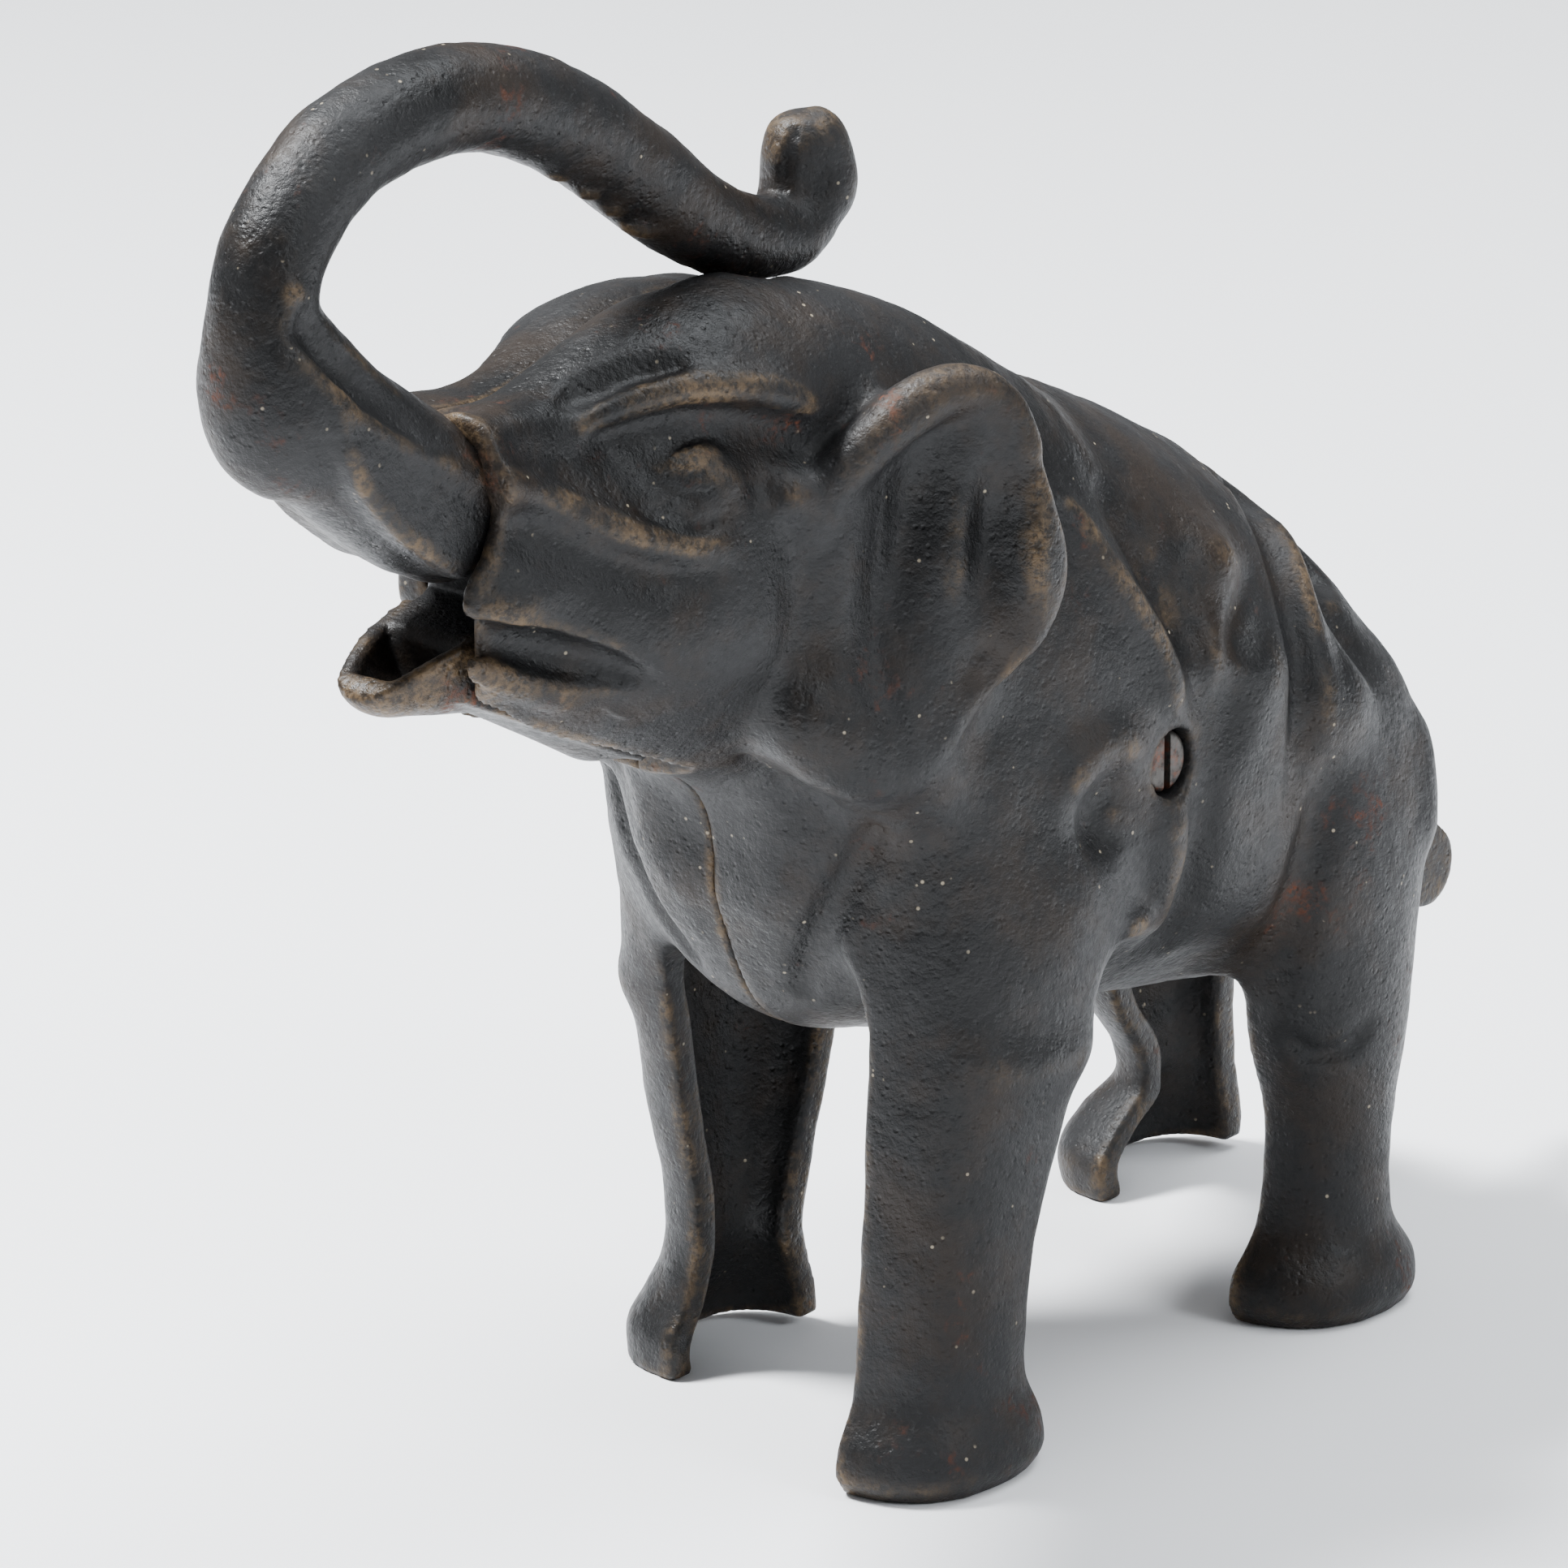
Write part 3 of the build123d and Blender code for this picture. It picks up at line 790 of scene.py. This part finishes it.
# Where the sole of each right foot starts to rise to the rear, how steeply, and how far.
SHORT_FEET_Y = (-11.0, 45.0)
SHORT_RISE = 0.065
SHORT_MOST = 1.1


def shorten_right_feet(clay):
    """The rear of each right foot is cast a little short of the ground."""
    x, y, z = clay.grid()
    for toe in SHORT_FEET_Y:
        short = np.clip(SHORT_RISE * (y - toe), 0, SHORT_MOST)
        foot = (y > toe - 3) & (y < toe + 20) & (z < 3)
        clay.d = np.where(foot, np.maximum(clay.d, short - z), clay.d)


def hollow_out(clay, base, legs):
    """Cut the chamber and the open channels of the legs, leaving the wall of the casting."""
    hollow = np.maximum(base + WALL, clay.d + LEAST_WALL)
    for leg in legs:
        channel = np.maximum(leg + WALL, -base)
        hollow = np.minimum(hollow, channel)
    clay.d = smooth_max(clay.d, -hollow, 0.5)


def open_front(clay, side):
    """Cut the opening that the lever comes out of, and the rim of the head around it."""
    clay.slab((-9, -70, 54), (OPENING_HALF_WIDTH, -51.5, 89))
    clay.slab((-9, -70, 54), (OPENING_HALF_WIDTH, -31, 72))
    clay.slab((-9, -70, 77), (6.3, -52.5, 86.0), blend=0.8)
    clay.slab((-9, -70, 54), (6.4, -55.5, 88.9), blend=0.8)
    x, y, z = clay.grid()
    heights, left_reach, right_reach = np.array(HEAD_RIM).T
    rim = eased(heights, left_reach if side > 0 else right_reach, z)
    clay.d = smooth_max(clay.d, rim - y, 0.8)


def fit_hardware(clay, side):
    """The screw pillar and the pin boss, with their bores."""
    clay.bore(*SCREW, SCREW_PILLAR_RADIUS, SEAM_GAP, 19.4, carve=False, blend=1)
    clay.bore(*PIVOT, PIVOT_BOSS_RADIUS, 5.2, 9.4, carve=False)
    clay.bore(*PIVOT, PIVOT_SOCKET_RADIUS, 0, 8.02)
    if side > 0:
        clay.bore(*SCREW, SCREW_CLEARANCE_RADIUS, -2, OUTSIDE_X)
        clay.bore(*SCREW, SCREW_HEAD_RADIUS, SCREW_HEAD_FROM_X, OUTSIDE_X)
    else:
        clay.bore(*SCREW, SCREW_TAPPED_RADIUS, -2, SCREW_END_X)


def body_half(name, side, step):
    """One half of the body, sculpted on its own side of the parting plane."""
    low_x = -3.7 if side < 0 else -0.6
    high_y = 62.6 if side > 0 else 76.2
    clay = Clay((low_x, -61.0, -0.6), (26.6, high_y, 99.4), step)
    x, y, z = clay.grid()
    base = smooth_min(section_field(clay, HEAD, 4, 2.1), section_field(clay, TORSO, 6, 2.0), 6)
    legs = [leg_field(clay, stations) for stations in LEGS[side]]
    clay.d = base
    for leg, stations in zip(legs, LEGS[side]):
        leg[:] = smooth_max(leg, z - stations[-1][0], 4)
        clay.d = smooth_min(clay.d, smooth_max(leg, LEG_INNER_X - x, 0.6), 5)
    sculpt_crown(clay, side)
    sculpt_eye(clay)
    sculpt_cheek(clay)
    sculpt_mouth(clay)
    sculpt_shoulder(clay)
    sculpt_ribs(clay)
    sculpt_hip(clay)
    sculpt_belly(clay)
    ear(clay, side)
    clay.grain(6.0, 0.16, 11 + side)
    clay.grain(1.7, 0.07, 21 + side)
    clay.d = np.maximum(clay.d, -z)
    if side < 0:
        shorten_right_feet(clay)
    hollow_out(clay, base, legs)
    open_front(clay, side)
    clay.slab((-9, SLOT_FRONT_Y, 60), (SLOT_HALF_WIDTH, SLOT_REAR_Y, 100))
    if side < 0:
        clay.limb(TAIL, 2)
    clay.d = np.maximum(clay.d, SEAM_GAP - x)
    fit_hardware(clay, side)
    return clay.mesh(name, mirror=side < 0)


# -------- trunk lever

# Hidden root of the lever in the parting plane: neck behind the trunk, keel, and arm behind the pin.
LEVER_ROOT = [
    (-57.5, 87.6), (-49.0, 85.2), (-40.0, 77.0), (-24.0, 72.0), (-6.0, 72.0), (3.2, 72.4),
    (3.2, 70.8), (-4.0, 66.0), (-30.0, 62.8), (-34.6, 60.2), (-44.0, 64.4), (-51.0, 67.6),
    (-55.0, 69.4), (-54.6, 72.6), (-49.8, 75.8), (-52.6, 80.6),
]
LEVER_HALF_WIDTH = 4.2

# Trunk: y, z and radius along its centre line, from the root to the curled tip.
TRUNK = [
    (-53.0, 82.8, 5.2),
    (-56.4, 85.2, 5.9),
    (-60.2, 88.0, 5.9),
    (-64.8, 91.4, 5.7),
    (-69.4, 95.8, 5.5),
    (-71.1, 101.0, 4.1),
    (-69.0, 106.6, 3.9),
    (-62.2, 111.6, 3.9),
    (-51.0, 113.2, 4.0),
    (-40.6, 110.2, 4.0),
    (-31.8, 104.8, 4.0),
    (-25.4, 100.2, 3.7),
    (-19.6, 97.4, 3.3),
    (-14.0, 96.6, 3.2),
    (-10.6, 99.4, 3.4),
]
# Raised panel on each side of the root: outline in y and z.
TRUNK_PANEL = [
    (-70.0, 95.6), (-62.4, 90.6), (-56.0, 88.0), (-53.0, 86.2), (-51.8, 82.8), (-53.2, 80.2),
    (-56.6, 79.4), (-59.8, 81.2), (-64.6, 85.2), (-69.0, 90.6),
]
# Lower jaw: y, lowest z, height of its rim, and half width.
JAW = [
    (-62.2, 69.9, 71.2, 2.0),
    (-60.0, 68.8, 72.1, 3.2),
    (-57.0, 68.2, 73.3, 4.3),
    (-54.0, 67.6, 74.1, 4.9),
    (-50.0, 67.0, 75.2, 5.1),
]
JAW_WALL = 1.4
# Its hollow is centred this far over the rim.
JAW_RAISE = 0.6
# On each side of the trunk's root: the ridge up its top edge, the gutter over it, and the shoulder
# that fills the gap to the forehead. Points are x, y and z, and the shoulder has a radius too.
TRUNK_RIDGE = [
    (3.0, -71.2, 100.8),
    (4.2, -70.4, 97.0),
    (5.1, -66.8, 93.6),
    (5.6, -60.8, 89.8),
    (5.9, -55.5, 86.8),
]
TRUNK_GUTTER = [(4.6, -70.6, 100.6), (4.8, -67.8, 97.2), (5.8, -63.0, 93.6), (6.8, -59.5, 91.6)]
TRUNK_SHOULDER = [(3.5, -60.5, 89.8, 2.0), (3.8, -55.5, 87.8, 2.5), (3.8, -52.0, 86.0, 2.5)]
# Casting flash under the trunk: y and how far it stands out, on a line of y and z stations.
FLASH = [(-39.5, 0.5), (-36.2, 0.8), (-33.4, 0.6), (-31.2, 0.9), (-29.6, 0.7)]
FLASH_LINE = ((-40, -35, -30), (105.6, 102.7, 99.2))


def trunk_root(clay):
    """Flat sides of the trunk's root, with a raised panel, a ridge and a gutter on each."""
    x, y, z = clay.grid()
    clay.d = np.where(z < 93, smooth_max(clay.d, np.abs(x) - 5.6, 1.2), clay.d)
    cut, x, y, z = clay.region((-9, -72, 77), (9, -50, 98))
    outline = smooth_line(TRUNK_PANEL + TRUNK_PANEL[:1])
    panel = outline_distance(outline, y + 0 * z, z + 0 * y) + 0 * x
    clay.d[cut] = smooth_min(clay.d[cut], smooth_max(panel, np.abs(x) - 6.2, 1.0), 0.7)
    for side in (1, -1):
        clay.limb([(side * x, y, z, 0.9) for x, y, z in TRUNK_RIDGE], 0.9)
        clay.limb([(side * x, y, z, 1.5) for x, y, z in TRUNK_GUTTER], 1.2, carve=True)
        clay.limb([(side * x, y, z, radius) for x, y, z, radius in TRUNK_SHOULDER], 1.5)


def trunk_tip(clay):
    """The curled tip: a blunt end with a cleft down its front and a shallow dish beside it."""
    clay.lump((0, -11.0, 101.8), (3.4, 3.7, 4.3), turn=(10, 0, 0), blend=1.5)
    clay.swell((2.6, -12.6, 100.2), (1.6, 2.0, 2.8), -0.9)
    clay.stroke([(0.6, -14.4, 99.6), (0.4, -13.6, 102.2), (0.3, -12.4, 104.6)], 0.35, -0.8)
    clay.slab((-5, -20, 105.5), (5, -2, 112), blend=0.8)
    clay.swell((0.8, -10.6, 105.4), (0.9, 0.8, 0.5), 0.5, loose=True)


def trunk_flash(clay):
    """Casting flash along the underside, and a pair of burrs on the side."""
    for place, size in FLASH:
        clay.swell((0, place, eased(*FLASH_LINE, place)), (0.8, 1.1, 0.8), size)
    clay.swell((4.0, -72.0, 103.4), (0.6, 0.8, 0.7), 0.35)
    clay.swell((4.1, -71.4, 101.6), (0.6, 0.7, 0.6), 0.3)


def lever_root(clay):
    """The flat root and arm in the parting plane, and the keel under it."""
    cut, x, y, z = clay.region((-6, -60, 59), (6, 5, 89))
    profile = outline_distance(LEVER_ROOT, y + 0 * z, z + 0 * y)
    root = smooth_max(profile + 0 * x, np.abs(x) - LEVER_HALF_WIDTH, 0.8)
    clay.d[cut] = smooth_min(clay.d[cut], root, 1.0)
    clay.limb([(0, -57, 71.0, 2.2), (0, -50, 70.6, 3.2), (0, -43, 67.6, 3.8), (0, -36, 64.2, 4.2)], 1)


def lower_jaw(clay):
    """The lower jaw, a pointed scoop."""
    cut, x, y, z = clay.region((-6, -65, 64), (6, -50, 79))
    places, lows, rims, widths = (np.array(column) for column in zip(*JAW))
    low, rim, width = (eased(places, column, y) for column in (lows, rims, widths))
    outer = np.sqrt((x / width) ** 2 + ((z - rim) / (rim - low)) ** 2) - 1
    outer = np.maximum(outer * width, z - rim)
    inner_rim = rim + JAW_RAISE
    inner_width = width - JAW_WALL
    inner = np.sqrt((x / inner_width) ** 2 + ((z - inner_rim) / (inner_rim - low - JAW_WALL)) ** 2) - 1
    inner = np.maximum(inner * inner_width, np.maximum(places[0] + 2.2 - y, y + 54.6))
    scoop = smooth_max(smooth_max(outer, places[0] - y, 1.5), -inner, 0.8)
    scoop = np.maximum(scoop, y + 51.0)
    clay.d[cut] = smooth_min(np.maximum(clay.d[cut], -np.maximum(inner, z - 76)), scoop, 0.5)


def trunk_lever(name, step):
    """Trunk, lower jaw, keel, pivot boss and counterweight in one casting."""
    clay = Clay((-9.6, -76.4, 59.6), (9.6, 4.0, 117.9), step)
    clay.limb([(0, *place) for place in TRUNK], 2)
    # chin of the trunk, where it turns up
    clay.lump((0, -69.5, 93.4), (4.6, 5.0, 5.6), blend=3)
    trunk_root(clay)
    trunk_tip(clay)
    trunk_flash(clay)
    clay.grain(5.0, 0.14, 31)
    clay.grain(1.5, 0.07, 32)
    lever_root(clay)
    lower_jaw(clay)
    # counterweight, then the boss and its bore
    clay.slab((-9, -18, 60.5), (9, -2, 73.5), carve=False, blend=0.6)
    clay.bore(*PIVOT, LEVER_BOSS_RADIUS, -5.0, 5.0, carve=False, blend=0.8)
    clay.bore(*PIVOT, LEVER_BORE_RADIUS, -OUTSIDE_X, OUTSIDE_X)
    return clay.mesh(name)


# -------- materials

class Graph:
    """Shorthand for building the node tree of one material."""

    def __init__(self, name):
        self.material = bpy.data.materials.new(name)
        self.material.use_nodes = True
        self.nodes = self.material.node_tree.nodes
        self.links = self.material.node_tree.links
        self.shader = self.nodes["Principled BSDF"]
        self.place = self.nodes.new("ShaderNodeTexCoord").outputs["Object"]

    def feed(self, socket, value):
        """Link a socket to another one, or set it to a constant."""
        if hasattr(value, "is_linked"):
            self.links.new(value, socket)
        else:
            socket.default_value = value

    def noise(self, scale, detail=3.0, roughness=0.55):
        """Cloudy noise with a scale in cycles per metre."""
        node = self.nodes.new("ShaderNodeTexNoise")
        self.links.new(self.place, node.inputs["Vector"])
        node.inputs["Scale"].default_value = scale
        node.inputs["Detail"].default_value = detail
        node.inputs["Roughness"].default_value = roughness
        return node.outputs["Fac"]

    def cells(self, scale):
        """Distance from the nearest of scattered points."""
        node = self.nodes.new("ShaderNodeTexVoronoi")
        self.links.new(self.place, node.inputs["Vector"])
        node.inputs["Scale"].default_value = scale
        return node.outputs["Distance"]

    def relief(self, name):
        """A relief stored on the mesh, in millimetres: above 0 on crests, below 0 in hollows."""
        node = self.nodes.new("ShaderNodeAttribute")
        node.attribute_name = name
        return node.outputs["Fac"]

    def spread(self, value, low, high, to_low=0.0, to_high=1.0):
        """Stretch the range from low to high over a new range, held at its ends."""
        node = self.nodes.new("ShaderNodeMapRange")
        node.interpolation_type = "SMOOTHSTEP"
        self.links.new(value, node.inputs["Value"])
        node.inputs["From Min"].default_value = low
        node.inputs["From Max"].default_value = high
        node.inputs["To Min"].default_value = to_low
        node.inputs["To Max"].default_value = to_high
        return node.outputs["Result"]

    def maths(self, kind, a, b):
        node = self.nodes.new("ShaderNodeMath")
        node.operation = kind
        self.feed(node.inputs[0], a)
        self.feed(node.inputs[1], b)
        return node.outputs["Value"]

    def times(self, a, b):
        return self.maths("MULTIPLY", a, b)

    def tint(self, amount, under, over):
        """Lay one colour over another by an amount from 0 to 1."""
        node = self.nodes.new("ShaderNodeMix")
        node.data_type = "RGBA"
        self.feed(node.inputs[0], amount)
        self.feed(node.inputs[6], under)
        self.feed(node.inputs[7], over)
        return node.outputs[2]

    def bump(self, height, depth, under=None):
        """Roughen the surface by a height from 0 to 1 and a depth in millimetres."""
        node = self.nodes.new("ShaderNodeBump")
        node.inputs["Strength"].default_value = 1.0
        node.inputs["Distance"].default_value = depth * MM
        self.links.new(height, node.inputs["Height"])
        if under is not None:
            self.links.new(under, node.inputs["Normal"])
        return node.outputs["Normal"]


CHARCOAL = (0.0040, 0.0040, 0.0042, 1)
# Darkest colour: painted shade in the hollows of the iron, and dark grit on the steel.
SOOT_AND_PAINTED_SHADE = (0.002, 0.002, 0.002, 1)
GREY = (0.012, 0.0120, 0.0126, 1)
BROWN = (0.021, 0.0125, 0.0070, 1)
TAN = (0.15, 0.098, 0.050, 1)
RUST = (0.13, 0.033, 0.010, 1)
DUST = (0.34, 0.29, 0.21, 1)
STEEL = (0.060, 0.055, 0.050, 1)


def cast_iron():
    """Worn black cast iron: rubbed tan on crests, painted shade in hollows, with specks of rust and
    dust.
    """
    graph = Graph("cast_iron")
    patches = graph.noise(60, 4)
    blotches = graph.noise(170, 4, 0.65)
    grit = graph.noise(1500, 3, 0.7)
    colour = graph.tint(graph.spread(patches, 0.38, 0.72), CHARCOAL, GREY)
    # painted shade in the hollows, uneven in blotches, and brown in patches
    hollow = graph.spread(graph.relief("broad_relief"), -0.05, -0.45)
    hollow = graph.times(hollow, graph.spread(blotches, 0.3, 0.6, 0.5, 1.0))
    colour = graph.tint(graph.times(hollow, 0.7), colour, SOOT_AND_PAINTED_SHADE)
    browned = graph.times(graph.spread(graph.noise(95, 5, 0.7), 0.45, 0.68), 0.55)
    colour = graph.tint(browned, colour, BROWN)
    # crests rubbed tan
    crest = graph.spread(graph.relief("fine_relief"), 0.15, 0.38)
    crest = graph.times(crest, graph.spread(blotches, 0.36, 0.64))
    crest = graph.times(crest, graph.spread(grit, 0.36, 0.62, 0.10, 0.60))
    colour = graph.tint(crest, colour, TAN)
    # rust, and specks of dust
    rusty = graph.spread(graph.noise(75, 5, 0.75), 0.59, 0.74)
    rusty = graph.times(rusty, graph.spread(grit, 0.42, 0.60))
    colour = graph.tint(graph.times(rusty, 0.7), colour, RUST)
    specks = graph.spread(graph.cells(800), 0.15, 0.07)
    specks = graph.times(specks, graph.spread(graph.noise(330, 2), 0.56, 0.64))
    colour = graph.tint(graph.times(specks, 0.7), colour, DUST)
    graph.links.new(colour, graph.shader.inputs["Base Color"])
    # sheen: duller where it is gritty or rusty
    worn = graph.spread(patches, 0.3, 0.7, 0.34, 0.46)
    worn = graph.maths("ADD", worn, graph.spread(grit, 0.3, 0.7, 0.0, 0.14))
    worn = graph.maths("ADD", worn, graph.times(rusty, 0.25))
    graph.links.new(worn, graph.shader.inputs["Roughness"])
    graph.shader.inputs["Specular IOR Level"].default_value = 0.25
    # skin of the casting: soft lumps, pits and grit
    skin = graph.bump(graph.noise(420, 5, 0.7), 0.16)
    pits = graph.spread(graph.cells(1300), 0.05, 0.35)
    pits = graph.maths("MAXIMUM", pits, graph.spread(blotches, 0.46, 0.38))
    skin = graph.bump(pits, 0.05, skin)
    skin = graph.bump(grit, 0.12, skin)
    graph.links.new(skin, graph.shader.inputs["Normal"])
    return graph.material


def steel(name):
    """Dull turned steel with traces of rust, for the pin and the screw."""
    graph = Graph(name)
    grit = graph.noise(1400, 3, 0.7)
    rusty = graph.spread(graph.noise(500, 4, 0.7), 0.48, 0.66)
    colour = graph.tint(graph.times(rusty, 0.8), STEEL, RUST)
    colour = graph.tint(graph.spread(grit, 0.5, 0.7, 0.0, 0.6), colour, SOOT_AND_PAINTED_SHADE)
    graph.links.new(colour, graph.shader.inputs["Base Color"])
    graph.links.new(graph.spread(grit, 0.3, 0.7, 0.38, 0.6), graph.shader.inputs["Roughness"])
    graph.shader.inputs["Metallic"].default_value = 0.7
    graph.links.new(graph.bump(grit, 0.05), graph.shader.inputs["Normal"])
    return graph.material


# -------- pieces

BODY_STEP = 0.45
LEVER_STEP = 0.36
casting = cast_iron()
for name, side in (("left_body", 1), ("right_body", -1)):
    piece = body_half(name + "_casting", side, BODY_STEP)
    piece.data.materials.append(casting)
    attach(piece, "bank_body")
    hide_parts(name + "_half")

lever = trunk_lever("trunk_casting", LEVER_STEP)
lever.data.materials.append(casting)
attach(lever, "trunk")
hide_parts("trunk_lever")

for name in ("trunk_pivot_pin", "assembly_screw"):
    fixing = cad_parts[name]
    fixing.data.materials.clear()
    fixing.data.materials.append(steel(name + "_steel"))


# -------- floor, light and camera

FLOOR_REACH = 6.0
PAPER = (0.90, 0.905, 0.92, 1)
SKY = (0.9, 0.92, 0.95, 1)
SKY_STRENGTH = 0.38
COOL = (0.96, 0.98, 1)
COOLER = (0.92, 0.96, 1)
COOLEST = (0.90, 0.95, 1)
SUN_STRENGTH = 1.1
SUN_ANGLE = radians(70)
VIEW_AZIMUTH = radians(40)
VIEW_ELEVATION = radians(17)
VIEW_DISTANCE = 0.7
VIEW_TARGET = Vector((0, -0.01362, 0.0528))
SENSOR_WIDTH = 36
# Focal length over sensor width: a long lens, so the view is nearly flat.
LENS_REACH = 11200 / 1932


def in_scene(name, data):
    thing = bpy.data.objects.new(name, data)
    bpy.context.scene.collection.objects.link(thing)
    return thing


def paper_floor():
    """A wide sheet of pale paper."""
    mesh = bpy.data.meshes.new("floor")
    corners = [(x * FLOOR_REACH, y * FLOOR_REACH, 0) for x, y in ((-1, -1), (1, -1), (1, 1), (-1, 1))]
    mesh.from_pydata(corners, [], [(0, 1, 2, 3)])
    paper = bpy.data.materials.new("paper")
    paper.use_nodes = True
    shader = paper.node_tree.nodes["Principled BSDF"]
    shader.inputs["Base Color"].default_value = PAPER
    shader.inputs["Roughness"].default_value = 0.9
    mesh.materials.append(paper)
    return in_scene("floor", mesh)


def pale_sky():
    """An even pale light from all round."""
    world = bpy.data.worlds.new("studio")
    world.use_nodes = True
    background = world.node_tree.nodes["Background"]
    background.inputs["Color"].default_value = SKY
    background.inputs["Strength"].default_value = SKY_STRENGTH
    bpy.context.scene.world = world


def area_light(name, place, target, size, power, colour):
    light = bpy.data.lights.new(name, "AREA")
    light.size = size
    light.energy = power
    light.color = colour
    lamp = in_scene(name, light)
    lamp.location = place
    lamp.rotation_euler = (Vector(target) - Vector(place)).to_track_quat("-Z", "Y").to_euler()


def daylight():
    """Very soft light from nearly overhead."""
    light = bpy.data.lights.new("daylight", "SUN")
    light.energy = SUN_STRENGTH
    light.angle = SUN_ANGLE
    in_scene("daylight", light).rotation_euler = (radians(-12), radians(8), 0)


def view():
    """The camera, in front to the left and a little above."""
    camera_data = bpy.data.cameras.new("camera")
    camera_data.sensor_width = SENSOR_WIDTH
    camera_data.lens = SENSOR_WIDTH * LENS_REACH
    camera = in_scene("camera", camera_data)
    level = cos(VIEW_ELEVATION)
    back = Vector((sin(VIEW_AZIMUTH) * level, -cos(VIEW_AZIMUTH) * level, sin(VIEW_ELEVATION)))
    camera.location = VIEW_TARGET + back * VIEW_DISTANCE
    camera.rotation_euler = (-back).to_track_quat("-Z", "Y").to_euler()
    bpy.context.scene.camera = camera


paper_floor()
pale_sky()
area_light("key", (-0.30, -0.20, 0.66), (0, 0, 0.06), 0.16, 19, COOL)
area_light("window", (0.75, 0.10, 0.50), (0, 0, 0.05), 0.3, 3.5, COOLER)
area_light("sky", (0.10, 0.30, 0.9), (0, 0, 0.05), 0.5, 7, COOLEST)
daylight()
view()
